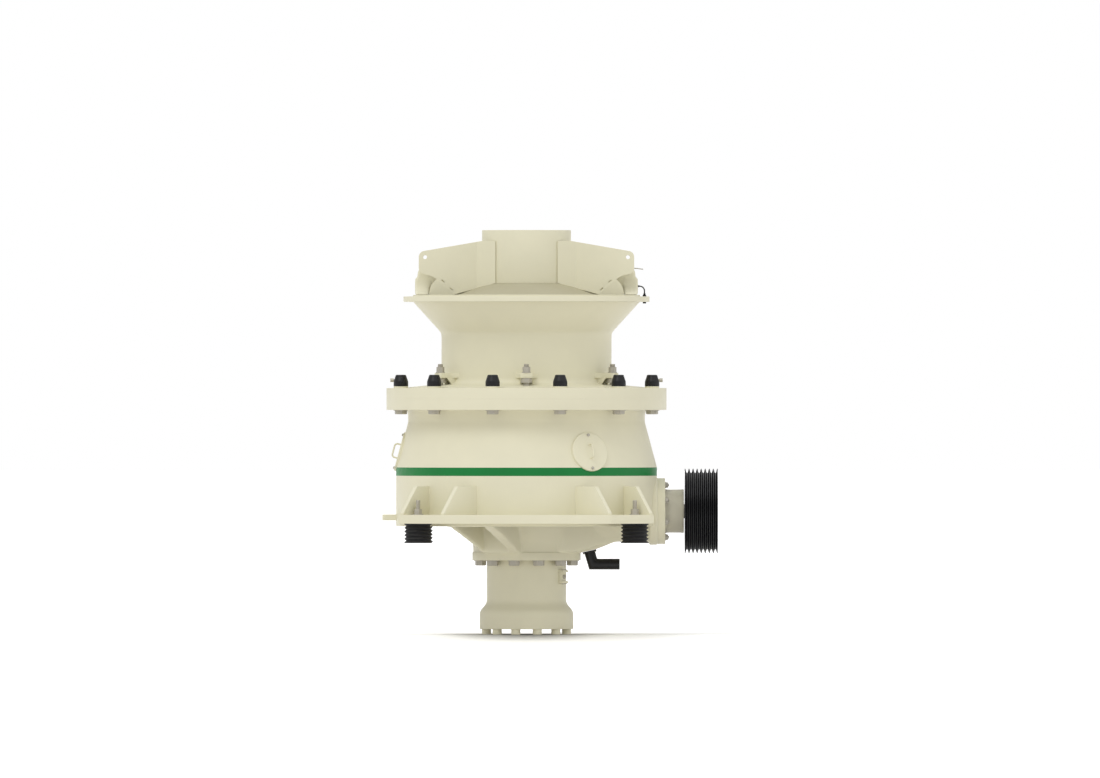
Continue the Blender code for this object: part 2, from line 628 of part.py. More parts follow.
def pinion_housing():
    """Tunnel arm towards the drive side, with the shaft's housing bolted on its end."""
    centre = (0.0, 0.0, PINION_LEVEL)
    tunnel = rod(TUNNEL_RADIUS, HUB_TOP_RADIUS, PINION_FLANGE_INNER - SEAT_GAP, SIDES_MEDIUM, "X")
    item = add_object("pinion_tunnel", moved(tunnel, centre), "cream_paint")
    bend = HUB_FLANGE_RADIUS + TUNNEL_WEB_RUN
    high = PINION_LEVEL - TUNNEL_RADIUS + TUNNEL_WEB_SINK
    end = bend + (high - web_line(TUNNEL_WEB_RUN)) / math.tan(math.radians(TUNNEL_WEB_RAMP))
    web = [(HUB_TOP_RADIUS, web_line(HUB_TOP_RADIUS - HUB_FLANGE_RADIUS)), (bend, web_line(TUNNEL_WEB_RUN)),
           (end, high), (end, PINION_LEVEL), (HUB_TOP_RADIUS, PINION_LEVEL)]
    half = TUNNEL_WEB / 2.0
    shape(item, prism(web, -half, half, "Y"), "UNION")
    shape(item, lathe(hub_profile(SEAT_GAP), SIDES_MEDIUM), "DIFFERENCE")
    bore = rod(SHAFT_RADIUS + RUNNING_GAP, 0.0, PINION_FLANGE_OUTER, SIDES_SMALL, "X")
    shape(item, moved(bore, centre), "DIFFERENCE")

    inner = SHAFT_RADIUS + RUNNING_GAP
    flange = [(inner, PINION_FLANGE_INNER), (PINION_FLANGE_RADIUS, PINION_FLANGE_INNER),
              (PINION_FLANGE_RADIUS, PINION_FLANGE_OUTER), (inner, PINION_FLANGE_OUTER)]
    add_object("pinion_flange", moved(lathe(flange, SIDES_MEDIUM, "X"), centre), "cream_paint")

    start = PINION_FLANGE_OUTER + SEAT_GAP
    journal = SHAFT_RADIUS + JOURNAL_GAP
    sleeve = [(inner, start), (TUBE_RADIUS, start), (TUBE_RADIUS, TUBE_END), (journal, TUBE_END),
              (journal, TUBE_END - TUBE_JOURNAL_LENGTH), (inner, TUBE_END - TUBE_JOURNAL_LENGTH)]
    add_object("bearing_tube", moved(lathe(sleeve, SIDES_PULLEY, "X"), centre), "tube_paint")


def drive():
    """Pulley and pinion shaft turn together about the pinion axis."""
    centre = (0.0, 0.0, PINION_LEVEL)
    shaft = rod(SHAFT_RADIUS, HUB_BOWL_RADIUS + RUNNING_GAP, PULLEY_OUTER - PULLEY_HUB_SET_BACK + SHAFT_PROUD,
                SIDES_PULLEY, "X")
    add_object("pinion_shaft", moved(shaft, centre), "shaft_steel", centre)

    bore = SHAFT_RADIUS + SEAT_GAP
    root = PULLEY_RADIUS - GROOVE_DEPTH
    rim = root - PULLEY_RIM
    middle = (PULLEY_INNER + PULLEY_OUTER) / 2.0
    web_in = middle - PULLEY_WEB / 2.0
    web_out = middle + PULLEY_WEB / 2.0
    hub_in = PULLEY_INNER + PULLEY_HUB_INNER_SET_BACK
    hub_out = PULLEY_OUTER - PULLEY_HUB_SET_BACK
    profile = [(rim, PULLEY_INNER), (PULLEY_RADIUS, PULLEY_INNER)]
    flank = (GROOVE_PITCH - RIDGE_TIP - GROOVE_FLOOR) / 2.0
    place = PULLEY_INNER + RIDGE_TIP
    for _ in range(PULLEY_GROOVES):
        profile += [(PULLEY_RADIUS, place), (root, place + flank),
                    (root, place + flank + GROOVE_FLOOR), (PULLEY_RADIUS, place + 2.0 * flank + GROOVE_FLOOR)]
        place += GROOVE_PITCH
    rim_root = rim - PULLEY_RIM_DRAFT
    hub_root = PULLEY_HUB_RADIUS + PULLEY_HUB_DRAFT
    profile += [(PULLEY_RADIUS, PULLEY_OUTER), (rim, PULLEY_OUTER), (rim_root, web_out), (hub_root, web_out),
                (PULLEY_HUB_RADIUS, hub_out), (bore, hub_out), (bore, hub_in), (PULLEY_HUB_RADIUS, hub_in),
                (hub_root, web_in), (rim_root, web_in)]
    add_object("drive_pulley", moved(lathe(profile, SIDES_PULLEY, "X"), centre), "pulley_iron", centre)


def mounting():
    """Shelf plates with their gussets, front and rear, on four ridged rubber mounts."""
    for name, side in (("front", -1.0), ("rear", 1.0)):
        half = SHELF_HALF_WIDTH
        corner = half - SHELF_CHAMFER
        outline = [(-half, side * SHELF_INNER_EDGE), (-half, side * (SHELF_DEPTH - SHELF_CHAMFER)),
                   (-corner, side * SHELF_DEPTH), (corner, side * SHELF_DEPTH),
                   (half, side * (SHELF_DEPTH - SHELF_CHAMFER)), (half, side * SHELF_INNER_EDGE)]
        shelf = add_object("mounting_shelf_" + name, prism(outline, SHELF_BOTTOM, SHELF_TOP), "cream_paint")
        ribs = bmesh.new()
        for hand in (-1.0, 1.0):
            add_form(ribs, gusset(GUSSET_OUTER_AZIMUTH, GUSSET_OUTER_BASE, GUSSET_OUTER_TOP, hand, side))
            add_form(ribs, gusset(GUSSET_INNER_AZIMUTH, GUSSET_INNER_BASE, GUSSET_INNER_TOP, hand, side))
        shape(shelf, ribs, "UNION")
        keep_out = rod(SHELL_RADIUS + SEAT_GAP, SHELL_BOTTOM, FLANGE_BOTTOM, SIDES_LARGE)
        shape(shelf, keep_out, "DIFFERENCE")
        boss = rod(PINION_FLANGE_RADIUS + SEAT_GAP, 0.0, 2.0 * SHELL_RADIUS, SIDES_MEDIUM, "X")
        shape(shelf, moved(boss, (0.0, 0.0, PINION_LEVEL)), "DIFFERENCE")
        for hand, word in ((-1.0, "left"), (1.0, "right")):
            place = (hand * MOUNT_PLACE, side * MOUNT_PLACE, 0.0)
            add_object("rubber_mount_" + name + "_" + word, moved(rubber_mount(), place), "black_rubber")

    half = SIDE_LUG_WIDTH / 2.0
    reach = SHELL_RADIUS + SIDE_LUG_REACH
    root = SHELL_RADIUS - SIDE_LUG_ROOT
    corner = SIDE_LUG_CORNER
    tip = [(-root, -half), (corner - reach, -half), (-reach, corner - half), (-reach, half - corner),
           (corner - reach, half), (-root, half)]
    lug = add_object("side_lug", prism(tip, SHELF_TOP - SIDE_LUG_THICKNESS, SHELF_TOP), "cream_paint")
    shape(lug, rod(SHELL_RADIUS + SEAT_GAP, SHELL_BOTTOM, SHELL_SHOULDER, SIDES_LARGE), "DIFFERENCE")


def gusset(azimuth, base, top, hand, side):
    """A slanted plate on the shelf, running out along the diagonal from the shell's wall."""
    width = SHELL_RADIUS * math.cos(math.radians(azimuth))
    depth = SHELL_RADIUS * math.sin(math.radians(azimuth))
    low = SHELF_TOP - GUSSET_SINK
    high = SHELF_TOP + GUSSET_HEIGHT
    outline = [(-GUSSET_ROOT, low), (base, low), (base, SHELF_TOP + GUSSET_TOE_HEIGHT), (top, high),
               (-GUSSET_ROOT, high)]
    form = prism(outline, -GUSSET_THICKNESS / 2.0, GUSSET_THICKNESS / 2.0, "Y")
    heading = math.degrees(math.atan2(side, hand))
    turned(form, heading)
    return moved(form, (hand * width, side * depth, 0.0))


def rubber_mount():
    top = SHELF_BOTTOM - SEAT_GAP
    low = top - MOUNT_HEIGHT
    profile = [(0.0, low), (MOUNT_RADIUS, low)]
    pitch = (MOUNT_HEIGHT - 2.0 * MOUNT_LIP) / (MOUNT_RIDGES - 1)
    for index in range(MOUNT_RIDGES):
        ridge = low + MOUNT_LIP + index * pitch
        profile.append((MOUNT_RADIUS, ridge))
        if index < MOUNT_RIDGES - 1:
            profile.append((MOUNT_WAIST, ridge + pitch / 2.0))
    profile += [(MOUNT_RADIUS, top), (0.0, top)]
    return lathe(profile, SIDES_SMALL)


def top_shell():
    ledge = CONCAVE_BOTTOM - SEAT_GAP
    flange = [(TOP_BORE, TOP_BOTTOM), (MAIN_FLANGE_RADIUS, TOP_BOTTOM), (MAIN_FLANGE_RADIUS, FLANGE_TOP),
              (TOP_FLANGE_FLAT_RADIUS, FLANGE_TOP),
              (TOP_FLANGE_SLOPE_RADIUS, FLANGE_TOP + TOP_FLANGE_SLOPE_RISE),
              (TOP_FILLET_RADIUS, FLANGE_TOP + TOP_FILLET_RISE),
              (TOP_RADIUS + TOP_FILLET_FOOT, TOP_SEAM - TOP_FILLET_HEIGHT), (TOP_RADIUS, TOP_SEAM),
              (TOP_WALL_BORE, TOP_SEAM), (TOP_WALL_BORE, ledge), (TOP_BORE, ledge)]
    add_object("top_flange", lathe(flange, SIDES_LARGE), "cream_paint")
    low = TOP_SEAM + SEAT_GAP
    barrel = [(TOP_WALL_BORE, low), (TOP_RADIUS, low), (TOP_RADIUS, TOP_FLARE_START),
              (TOP_WALL_BORE, TOP_FLARE_START)]
    shell = add_object("top_shell", lathe(barrel, SIDES_LARGE), "cream_paint")
    low = TOP_FLARE_START + SEAT_GAP
    high = RIM_BOTTOM - SEAT_GAP
    flare = [(TOP_WALL_BORE, low), (TOP_RADIUS, low), (TOP_RADIUS + TOP_BEND_RUN, low + TOP_BEND_RISE),
             (TOP_FLARE_RADIUS, high), (RIM_BORE, high), (TOP_WALL_BORE, low + TOP_INNER_RISE)]
    add_object("top_flare", lathe(flare, SIDES_LARGE), "cream_paint")

    def lug():
        half = LUG_WIDTH / 2.0
        low = FLANGE_TOP + LUG_RISE
        root = TOP_RADIUS - LUG_ROOT
        bend = TOP_RADIUS + LUG_FLARE_RUN
        outline = [(root, half + LUG_FLARE), (bend, half), (LUG_REACH - LUG_CORNER, half),
                   (LUG_REACH, half - LUG_CORNER)]
        outline += [(u, -v) for u, v in reversed(outline)]
        return prism(outline, low, low + LUG_THICKNESS)

    shape(shell, around(lug, LUG_COUNT, -90.0), "UNION")
    rim = [(RIM_BORE, RIM_BOTTOM), (RIM_RADIUS, RIM_BOTTOM), (RIM_RADIUS, RIM_TOP),
           (RIM_STEP_RADIUS, RIM_TOP), (RIM_STEP_RADIUS, STEP_TOP), (RIM_BORE, STEP_TOP)]
    add_object("rim_flange", lathe(rim, SIDES_LARGE), "cream_paint")
    low = FLANGE_TOP + SEAT_GAP
    high = low + CAP_HEIGHT
    cap = [(0.0, low), (CAP_RADIUS, low), (CAP_RADIUS, low + CAP_TAPER_START),
           (CAP_TOP_RADIUS + CAP_CHAMFER / 2.0, high - CAP_CHAMFER), (CAP_TOP_RADIUS - CAP_CHAMFER / 2.0, high),
           (0.0, high)]
    for index in range(CAP_COUNT):
        form = moved(lathe(cap, SIDES_CAP), (CAP_CIRCLE, 0.0, 0.0))
        turned(form, CAP_FIRST_AZIMUTH + 360.0 * index / CAP_COUNT)
        add_object("bolt_cap_%02d" % (index + 1), form, "black_plastic")


def crushing_chamber():
    outer = TOP_WALL_BORE - SEAT_GAP
    top = CONCAVE_BOTTOM + CONCAVE_HEIGHT
    waist = CONCAVE_BOTTOM + CONCAVE_WAIST_HEIGHT
    concave = [(outer - CONCAVE_BASE_WALL, CONCAVE_BOTTOM), (outer, CONCAVE_BOTTOM), (outer, top),
               (outer - CONCAVE_TOP_WALL, top), (outer - CONCAVE_WAIST_WALL, waist)]
    add_object("concave_liner", lathe(concave, SIDES_LARGE), "manganese_steel")
    low = HUB_TOP + SEAT_GAP
    bore = MAIN_SHAFT_RADIUS + SEAT_GAP
    rim = low + MANTLE_SKIRT_HEIGHT
    mantle = [(bore, low), (HUB_TOP_RADIUS, low), (MANTLE_BASE_RADIUS - MANTLE_RIM_SET_IN, rim),
              (MANTLE_BASE_RADIUS, rim + MANTLE_RIM_HEIGHT),
              (MANTLE_SHOULDER_RADIUS, rim + MANTLE_SHOULDER_RISE),
              (MANTLE_MID_RADIUS, rim + MANTLE_MID_RISE), (MANTLE_TOP_RADIUS, low + MANTLE_HEIGHT),
              (bore, low + MANTLE_HEIGHT)]
    add_object("mantle", lathe(mantle, SIDES_MEDIUM), "manganese_steel")
    top = STEP_TOP - SPIDER_HUB_DROP - SEAT_GAP
    add_object("main_shaft", rod(MAIN_SHAFT_RADIUS, low, top, SIDES_MEDIUM), "shaft_steel")


def skirt_line(width):
    """Height of the skirt's upper face at a distance from the axis."""
    slope = SKIRT_DROP / (SKIRT_RADIUS - GUARD_RADIUS)
    return GUARD_BOTTOM - SEAT_GAP - slope * (width - GUARD_RADIUS)


def spider():
    half = SPIDER_ARM_HALF_WIDTH
    end_top = STEP_TOP + SPIDER_ARM_END_TOP
    arm_low = STEP_TOP + SPIDER_ARM_BOTTOM
    right = [(0.0, STEP_TOP + SPIDER_ARM_TOP), (SPIDER_ARM_TOP_INNER, STEP_TOP + SPIDER_ARM_TOP)]
    shoulder = (SPIDER_ARM_REACH - SPIDER_ARM_SHOULDER, end_top - SPIDER_ARM_SHOULDER)
    right += arc(shoulder, SPIDER_ARM_SHOULDER, 75.0, 0.0, 4)
    right += [(SPIDER_ARM_REACH, SPIDER_BOTTOM + SPIDER_FOOT_HEIGHT), (SPIDER_FOOT_REACH, SPIDER_BOTTOM)]
    for step in range(SPIDER_ARCH_STEPS + 1):
        turn = step / SPIDER_ARCH_STEPS * math.pi / 2.0
        right.append((SPIDER_FOOT_INNER - SPIDER_ARCH_RUN * (1.0 - math.cos(turn)),
                      SPIDER_BOTTOM + (arm_low - SPIDER_BOTTOM) * math.sin(turn)))
    right.append((0.0, arm_low))
    left = [(-u, v) for u, v in reversed(right) if u > 0.0]
    item = add_object("spider", prism(right + left, -half, half, "Y"), "cream_paint")
    soften = item.modifiers.new("Cast edges", "BEVEL")
    soften.width = SPIDER_CAST_EDGE
    soften.segments = 2
    soften.limit_method = "ANGLE"
    soften.angle_limit = math.radians(60.0)
    top = GUARD_TOP - GUARD_WALL - SEAT_GAP
    shape(item, rod(SPIDER_HUB_RADIUS, STEP_TOP - SPIDER_HUB_DROP, top, SIDES_MEDIUM), "UNION")

    inner = GUARD_RADIUS - GUARD_WALL
    ceiling = GUARD_TOP - GUARD_WALL
    guard = [(inner, GUARD_BOTTOM), (GUARD_RADIUS, GUARD_BOTTOM), (GUARD_RADIUS, GUARD_TOP - GUARD_CHAMFER),
             (GUARD_RADIUS - GUARD_CHAMFER, GUARD_TOP), (0.0, GUARD_TOP)]
    cap = [(0.0, ceiling), (inner, ceiling)]
    guard_item = add_object("hub_guard", lathe(cap + guard, SIDES_MEDIUM), "cream_paint")
    gap = half + 2.0 * SEAT_GAP
    passage = block((-GUARD_RADIUS * 2.0, -gap, GUARD_BOTTOM - 0.1),
                    (GUARD_RADIUS * 2.0, gap, STEP_TOP + SPIDER_ARM_TOP + 2.0 * SEAT_GAP))
    shape(guard_item, passage, "DIFFERENCE")

    collar = SPIDER_HUB_RADIUS + SEAT_GAP
    high = GUARD_BOTTOM - SEAT_GAP
    skirt = [(collar, high - SKIRT_WALL), (collar, high), (GUARD_RADIUS, high),
             (SKIRT_RADIUS, high - SKIRT_DROP), (SKIRT_RADIUS - SKIRT_DRAFT, high - SKIRT_DROP - SKIRT_WALL),
             (GUARD_RADIUS - SKIRT_DRAFT, high - SKIRT_WALL)]
    add_object("hub_skirt", lathe(skirt, SIDES_MEDIUM), "khaki_paint")


def arm_shields():
    """Folded plates beside the spider's arms, standing on the skirt against the guard."""
    corner = SHIELD_REACH - SHIELD_CORNER
    end_top = STEP_TOP + SHIELD_END_TOP
    flap = STEP_TOP + SHIELD_FLAP_RISE
    notch = STEP_TOP + SHIELD_NOTCH_RISE
    tip = SHIELD_REACH - SHIELD_NOTCH_SET_IN
    foot = SHIELD_REACH - SHIELD_FOOT_SET_IN
    start = SHIELD_ROOT_WIDTH - SHIELD_ROOT_MARGIN
    reach = SKIRT_RADIUS + SHIELD_ROOT_MARGIN
    for front, side in (("front", -1.0), ("rear", 1.0)):
        for word, hand in (("left", -1.0), ("right", 1.0)):
            slant = (SHIELD_ROOT_DEPTH - SHIELD_FOLD_DEPTH) / (SHIELD_FOLD_WIDTH - SHIELD_ROOT_WIDTH)
            face = [(start, SHIELD_ROOT_DEPTH + slant * SHIELD_ROOT_MARGIN),
                    (SHIELD_FOLD_WIDTH, SHIELD_FOLD_DEPTH), (SHIELD_REACH, SHIELD_END_DEPTH)]
            plan = [(hand * u, side * v) for u, v in face]
            plan += [(hand * u, side * (v - SHIELD_PLATE)) for u, v in reversed(face)]
            low = STEP_TOP + SEAT_GAP
            item = add_object("arm_shield_" + front + "_" + word,
                              prism(plan, RIM_BOTTOM, GUARD_TOP + GUARD_HEIGHT), "cream_paint")
            outline = [(start, STEP_TOP + SHIELD_TOP), (GUARD_RADIUS, STEP_TOP + SHIELD_TOP)]
            outline += arc((corner, end_top - SHIELD_CORNER), SHIELD_CORNER, 80.0, 0.0, 5)
            outline += arc((SHIELD_REACH - SHIELD_CORNER, flap), SHIELD_CORNER, 0.0, -75.0, 3)
            outline += arc((tip + SHIELD_TIP, notch), SHIELD_TIP, 110.0, 220.0, 4)
            outline += [(foot - SHIELD_TIP / 2.0, (notch + low) / 2.0), (foot, low), (start, low)]
            outline = [(hand * u, v) for u, v in outline]
            shape(item, prism(outline, -1.0, 1.0, "Y"), "INTERSECT")
            guard = rod(GUARD_RADIUS + SEAT_GAP, RIM_BOTTOM, GUARD_TOP + GUARD_HEIGHT, SIDES_MEDIUM)
            shape(item, guard, "DIFFERENCE")
            seat = [(0.0, FLANGE_TOP), (reach, FLANGE_TOP), (reach, skirt_line(reach) + SEAT_GAP),
                    (GUARD_RADIUS, skirt_line(GUARD_RADIUS) + SEAT_GAP),
                    (0.0, skirt_line(GUARD_RADIUS) + SEAT_GAP)]
            shape(item, lathe(seat, SIDES_MEDIUM), "DIFFERENCE")
            hole = rod(SHIELD_HOLE_RADIUS, -1.0, 1.0, SIDES_CAP)
            lay = Matrix.Rotation(math.radians(90.0), 4, "X")
            bmesh.ops.transform(hole, matrix=lay, verts=hole.verts)
            place = (hand * SHIELD_HOLE_PLACE, 0.0, STEP_TOP + SHIELD_HOLE_RISE)
            shape(item, moved(hole, place), "DIFFERENCE")


def hatches():
    """Round covers on the shell's cone, each with a bent handle."""
    slope = math.atan2(SHELL_TAPER, SHELL_CONE_HEIGHT)
    level = SHELL_NECK - HATCH_LEVEL_DROP
    radius = SHELL_RADIUS - (level - SHELL_SHOULDER) * math.tan(slope)
    flat_up = Matrix.Rotation(math.pi / HATCH_SIDES, 4, "X")
    for name, azimuth in HATCH_AZIMUTHS.items():
        cover = rod(HATCH_RADIUS, -HATCH_DEPTH, HATCH_PROUD, HATCH_SIDES, "X")
        handle = handle_path()
        tilt = Matrix.Rotation(-slope, 4, "Y")
        place = Matrix.Translation((radius, 0.0, level))
        turn = Matrix.Rotation(math.radians(azimuth), 4, "Z")
        full = turn @ place @ tilt
        bmesh.ops.transform(cover, matrix=full @ flat_up, verts=cover.verts)
        bmesh.ops.transform(handle, matrix=full, verts=handle.verts)
        item = add_object("inspection_hatch_" + name, cover, "cream_paint")
        shape(item, handle, "UNION")
        shape(item, lathe(shell_outer_profile(SEAT_GAP), SIDES_LARGE), "DIFFERENCE")


def handle_path():
    half = HANDLE_SPAN / 2.0
    reach = HATCH_PROUD + HANDLE_REACH
    corner = HANDLE_CORNER
    route = [(HATCH_PROUD - HANDLE_SINK, 0.0, -half)]
    route += [(u, 0.0, v) for u, v in arc((reach - corner, -half + corner), corner, -90.0, 0.0, 3)]
    route += [(u, 0.0, v) for u, v in arc((reach - corner, half - corner), corner, 0.0, 90.0, 3)]
    route += [(HATCH_PROUD - HANDLE_SINK, 0.0, half)]
    return tube(route, HANDLE_ROD, SIDES_ROD)


def drain_elbow():
    """A mitred elbow on its sloped pad, with an open outlet towards the drive side."""
    middle = HUB_FLANGE_RADIUS + ELBOW_PLACE
    seat = web_line(ELBOW_PLACE)
    lean = Matrix.Translation((middle, 0.0, seat)) @ Matrix.Rotation(-math.radians(TUNNEL_WEB_SLOPE), 4, "Y")
    corner = (middle + ELBOW_CORNER_SET_OUT, 0.0, seat - ELBOW_DROP)
    end = corner[0] + ELBOW_STUB_LENGTH
    route = [lean @ Vector((0.0, 0.0, -ELBOW_PAD_THICKNESS / 2.0)), corner, (end, 0.0, corner[2])]
    item = add_object("drain_elbow", tube(route, ELBOW_RADIUS, SIDES_PULLEY // 2), "black_plastic")
    half = ELBOW_PAD_WIDTH / 2.0
    plate = block((-ELBOW_PAD_LENGTH / 2.0, -half, -ELBOW_PAD_THICKNESS),
                  (ELBOW_PAD_LENGTH / 2.0, half, -SEAT_GAP))
    bmesh.ops.transform(plate, matrix=lean, verts=plate.verts)
    shape(item, plate, "UNION")
    bore = rod(ELBOW_BORE, end - ELBOW_BORE_DEPTH, end + ELBOW_BORE_DEPTH, SIDES_PULLEY // 2, "X")
    shape(item, moved(bore, (0.0, 0.0, corner[2])), "DIFFERENCE")


def grease_hose():
    start = SPIDER_ARM_REACH + SEAT_GAP
    level = STEP_TOP + HOSE_START_RISE
    drop = start + HOSE_STAND_OFF + HOSE_SPREAD
    centre = (drop - HOSE_BEND, level - HOSE_BEND)
    route = [(start, 0.0, level)]
    route += [(u, 0.0, v) for u, v in arc(centre, HOSE_BEND, 85.0, 0.0, 5)]
    route += [(drop, 0.0, RIM_TOP + SEAT_GAP)]
    add_object("grease_hose", tube(route, HOSE_RADIUS, SIDES_ROD), "black_rubber")


def build():
    clear_scene()
    hydraulic_cylinder()
    bottom_shell()
    pinion_housing()
    drive()
    mounting()
    top_shell()
    crushing_chamber()
    spider()
    arm_shields()
    hatches()
    drain_elbow()
    grease_hose()


build()
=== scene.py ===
"""Cone crusher: the finished pieces, their paint and metal, and the studio they stand in.

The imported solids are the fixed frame. Sizes that those solids already have are read
from their boxes; what is set here is the finer detail: rounded castings, bolts, nuts,
studs, screws, fittings and surfaces. Metres, +Z up, -Y is the front.
"""
import math

import bmesh
import bpy
from bpy.props import FloatProperty, FloatVectorProperty, IntProperty, PointerProperty
from bpy.types import Operator, Panel, PropertyGroup
from mathutils import Matrix, Vector


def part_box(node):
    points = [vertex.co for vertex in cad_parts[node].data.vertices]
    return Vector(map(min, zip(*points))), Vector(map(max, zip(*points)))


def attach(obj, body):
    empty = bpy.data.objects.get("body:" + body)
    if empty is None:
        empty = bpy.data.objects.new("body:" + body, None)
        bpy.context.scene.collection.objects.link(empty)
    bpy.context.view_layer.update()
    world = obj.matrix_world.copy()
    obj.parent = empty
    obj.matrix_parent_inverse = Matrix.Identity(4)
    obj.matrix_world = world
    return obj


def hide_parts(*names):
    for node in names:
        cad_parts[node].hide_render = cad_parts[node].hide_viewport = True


bl_info = {
    "name": "Cone Crusher",
    "version": (1, 0, 0),
    "blender": (4, 5, 0),
    "location": "View3D > Sidebar > Crusher",
    "description": "Builds the pieces, finishes and studio of a cone crusher",
    "category": "Object",
}

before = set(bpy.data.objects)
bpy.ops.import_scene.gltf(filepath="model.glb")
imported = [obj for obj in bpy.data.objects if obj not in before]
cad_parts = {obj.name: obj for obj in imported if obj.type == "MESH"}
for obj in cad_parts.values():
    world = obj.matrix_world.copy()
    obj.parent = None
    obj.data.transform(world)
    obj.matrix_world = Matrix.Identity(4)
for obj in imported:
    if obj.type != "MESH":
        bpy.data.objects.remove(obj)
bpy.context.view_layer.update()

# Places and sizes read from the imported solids
COVER_LOW, COVER_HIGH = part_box("cylinder_cover")
CYLINDER_LOW, CYLINDER_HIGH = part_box("hydraulic_cylinder")
HUB_LOW, HUB_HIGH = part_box("shell_hub")
SHELL_LOW, SHELL_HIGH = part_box("bottom_shell")
CONE_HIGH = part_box("shell_cone")[1]
NECK_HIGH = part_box("shell_flange")[1]
TUNNEL_LOW, TUNNEL_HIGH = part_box("pinion_tunnel")
PINION_LOW, PINION_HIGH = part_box("pinion_flange")
TUBE_LOW, TUBE_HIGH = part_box("bearing_tube")
PULLEY_LOW, PULLEY_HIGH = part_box("drive_pulley")
SHAFT_LOW, SHAFT_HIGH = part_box("pinion_shaft")
SHELF_LOW, SHELF_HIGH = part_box("mounting_shelf_front")
MOUNT_LOW, MOUNT_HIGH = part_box("rubber_mount_front_right")
LUG_LOW, LUG_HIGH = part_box("side_lug")
TOP_FLANGE_LOW, TOP_FLANGE_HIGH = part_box("top_flange")
BARREL_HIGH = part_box("top_shell")[1]
FLARE_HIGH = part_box("top_flare")[1]
RIM_LOW, RIM_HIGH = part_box("rim_flange")
LINER_LOW, LINER_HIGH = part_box("concave_liner")
MANTLE_LOW, MANTLE_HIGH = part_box("mantle")
MAIN_SHAFT_LOW, MAIN_SHAFT_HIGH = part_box("main_shaft")
SPIDER_LOW, SPIDER_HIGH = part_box("spider")
GUARD_LOW, GUARD_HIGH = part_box("hub_guard")
SKIRT_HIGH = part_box("hub_skirt")[1]
SHIELD_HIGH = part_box("arm_shield_front_right")[1]
CAP_LOW, CAP_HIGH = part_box("bolt_cap_01")

GROUND = COVER_LOW.z
PINION_LEVEL = (PINION_LOW.z + PINION_HIGH.z) / 2.0
SHELL_RADIUS = -SHELL_LOW.x
SHELL_SHOULDER = SHELL_HIGH.z
NECK_TOP = CONE_HIGH.z
FLANGE_RADIUS = NECK_HIGH.x
FLANGE_JOINT = NECK_HIGH.z
MOUNT_PLACE = (MOUNT_LOW.x + MOUNT_HIGH.x) / 2.0

# Sizes of the castings that a box alone doesn't give
SHELL_WALL = 0.034
SHELL_BOTTOM = 0.649
SHELL_NECK_RADIUS = 0.745
SHELL_NECK_START = 1.304
SHELL_TAPER = math.atan2(SHELL_RADIUS - SHELL_NECK_RADIUS, SHELL_NECK_START - SHELL_SHOULDER)
FLANGE_THICKNESS = 0.0692
FLANGE_TOP = FLANGE_JOINT + FLANGE_THICKNESS
BARREL_RADIUS = 0.5355
BARREL_WALL = 0.0455
HUB_FLANGE_RADIUS = 0.341
HUB_FLANGE_TOP = HUB_LOW.z + 0.052
HUB_NECK_RADIUS = 0.338
HUB_HOLLOW = 0.300
ARM_AZIMUTHS = (242.0, 118.0)
SHELF_LEVEL = SHELF_LOW.z
SHELF_TOP = SHELF_LEVEL + 0.055
CAP_CIRCLE = 0.819
CAP_COUNT = 12
CAP_FIRST = 15.0
LUG_COUNT = 6
LUG_LEVEL = 0.0618
LUG_THICKNESS = 0.033
STUD_CIRCLE = 0.625

ROUND_FINE = 160
ROUND_MEDIUM = 96
ROUND_SMALL = 32
SOFT_EDGE = 0.003
BEVEL_ANGLE = 28.0
SEAT_GAP = 0.0003
PEEL_HEIGHT = 0.00022


class CrusherPaints(PropertyGroup):
    """Colours of the paints and metals."""
    cream: FloatVectorProperty(
        name="Cream paint", description="Paint of the castings and plates",
        subtype="COLOR", size=4, min=0.0, max=1.0, default=(0.765, 0.735, 0.560, 1.0))
    dust: FloatVectorProperty(
        name="Dust", description="Pale dust that settles on upper faces",
        subtype="COLOR", size=4, min=0.0, max=1.0, default=(0.800, 0.775, 0.640, 1.0))
    band: FloatVectorProperty(
        name="Green band", description="Painted band round the bottom shell",
        subtype="COLOR", size=4, min=0.0, max=1.0, default=(0.006, 0.190, 0.040, 1.0))
    # Painted shade: the skirt under the hub guard takes this darker, yellower copy of the cream paint for the
    # shade that falls on it.
    khaki: FloatVectorProperty(
        name="Khaki paint", description="Paint of the conical skirt under the hub guard",
        subtype="COLOR", size=4, min=0.0, max=1.0, default=(0.450, 0.420, 0.290, 1.0))
    # Painted shade: a darker, greyer copy of the cream paint, for the shade the bearing tube sits in between
    # the pinion flange and the pulley.
    tube: FloatVectorProperty(
        name="Bearing tube shade paint", description="Greyer paint of the pinion's bearing tube",
        subtype="COLOR", size=4, min=0.0, max=1.0, default=(0.690, 0.660, 0.530, 1.0))
    rubber: FloatVectorProperty(
        name="Rubber", description="Black rubber of the mounts and the hose",
        subtype="COLOR", size=4, min=0.0, max=1.0, default=(0.013, 0.013, 0.014, 1.0))
    plastic: FloatVectorProperty(
        name="Plastic", description="Black plastic of the bolt caps and the elbow",
        subtype="COLOR", size=4, min=0.0, max=1.0, default=(0.009, 0.009, 0.010, 1.0))
    iron: FloatVectorProperty(
        name="Pulley iron", description="Black painted iron of the drive pulley",
        subtype="COLOR", size=4, min=0.0, max=1.0, default=(0.007, 0.007, 0.008, 1.0))
    bolt: FloatVectorProperty(
        name="Bolt zinc", description="Plated steel of the bolts, studs and nuts",
        subtype="COLOR", size=4, min=0.0, max=1.0, default=(0.460, 0.435, 0.375, 1.0))
    steel: FloatVectorProperty(
        name="Turned steel", description="Bare turned steel of the shafts",
        subtype="COLOR", size=4, min=0.0, max=1.0, default=(0.450, 0.430, 0.400, 1.0))
    liner: FloatVectorProperty(
        name="Manganese steel", description="Worn cast steel of the mantle and the liner",
        subtype="COLOR", size=4, min=0.0, max=1.0, default=(0.215, 0.200, 0.185, 1.0))


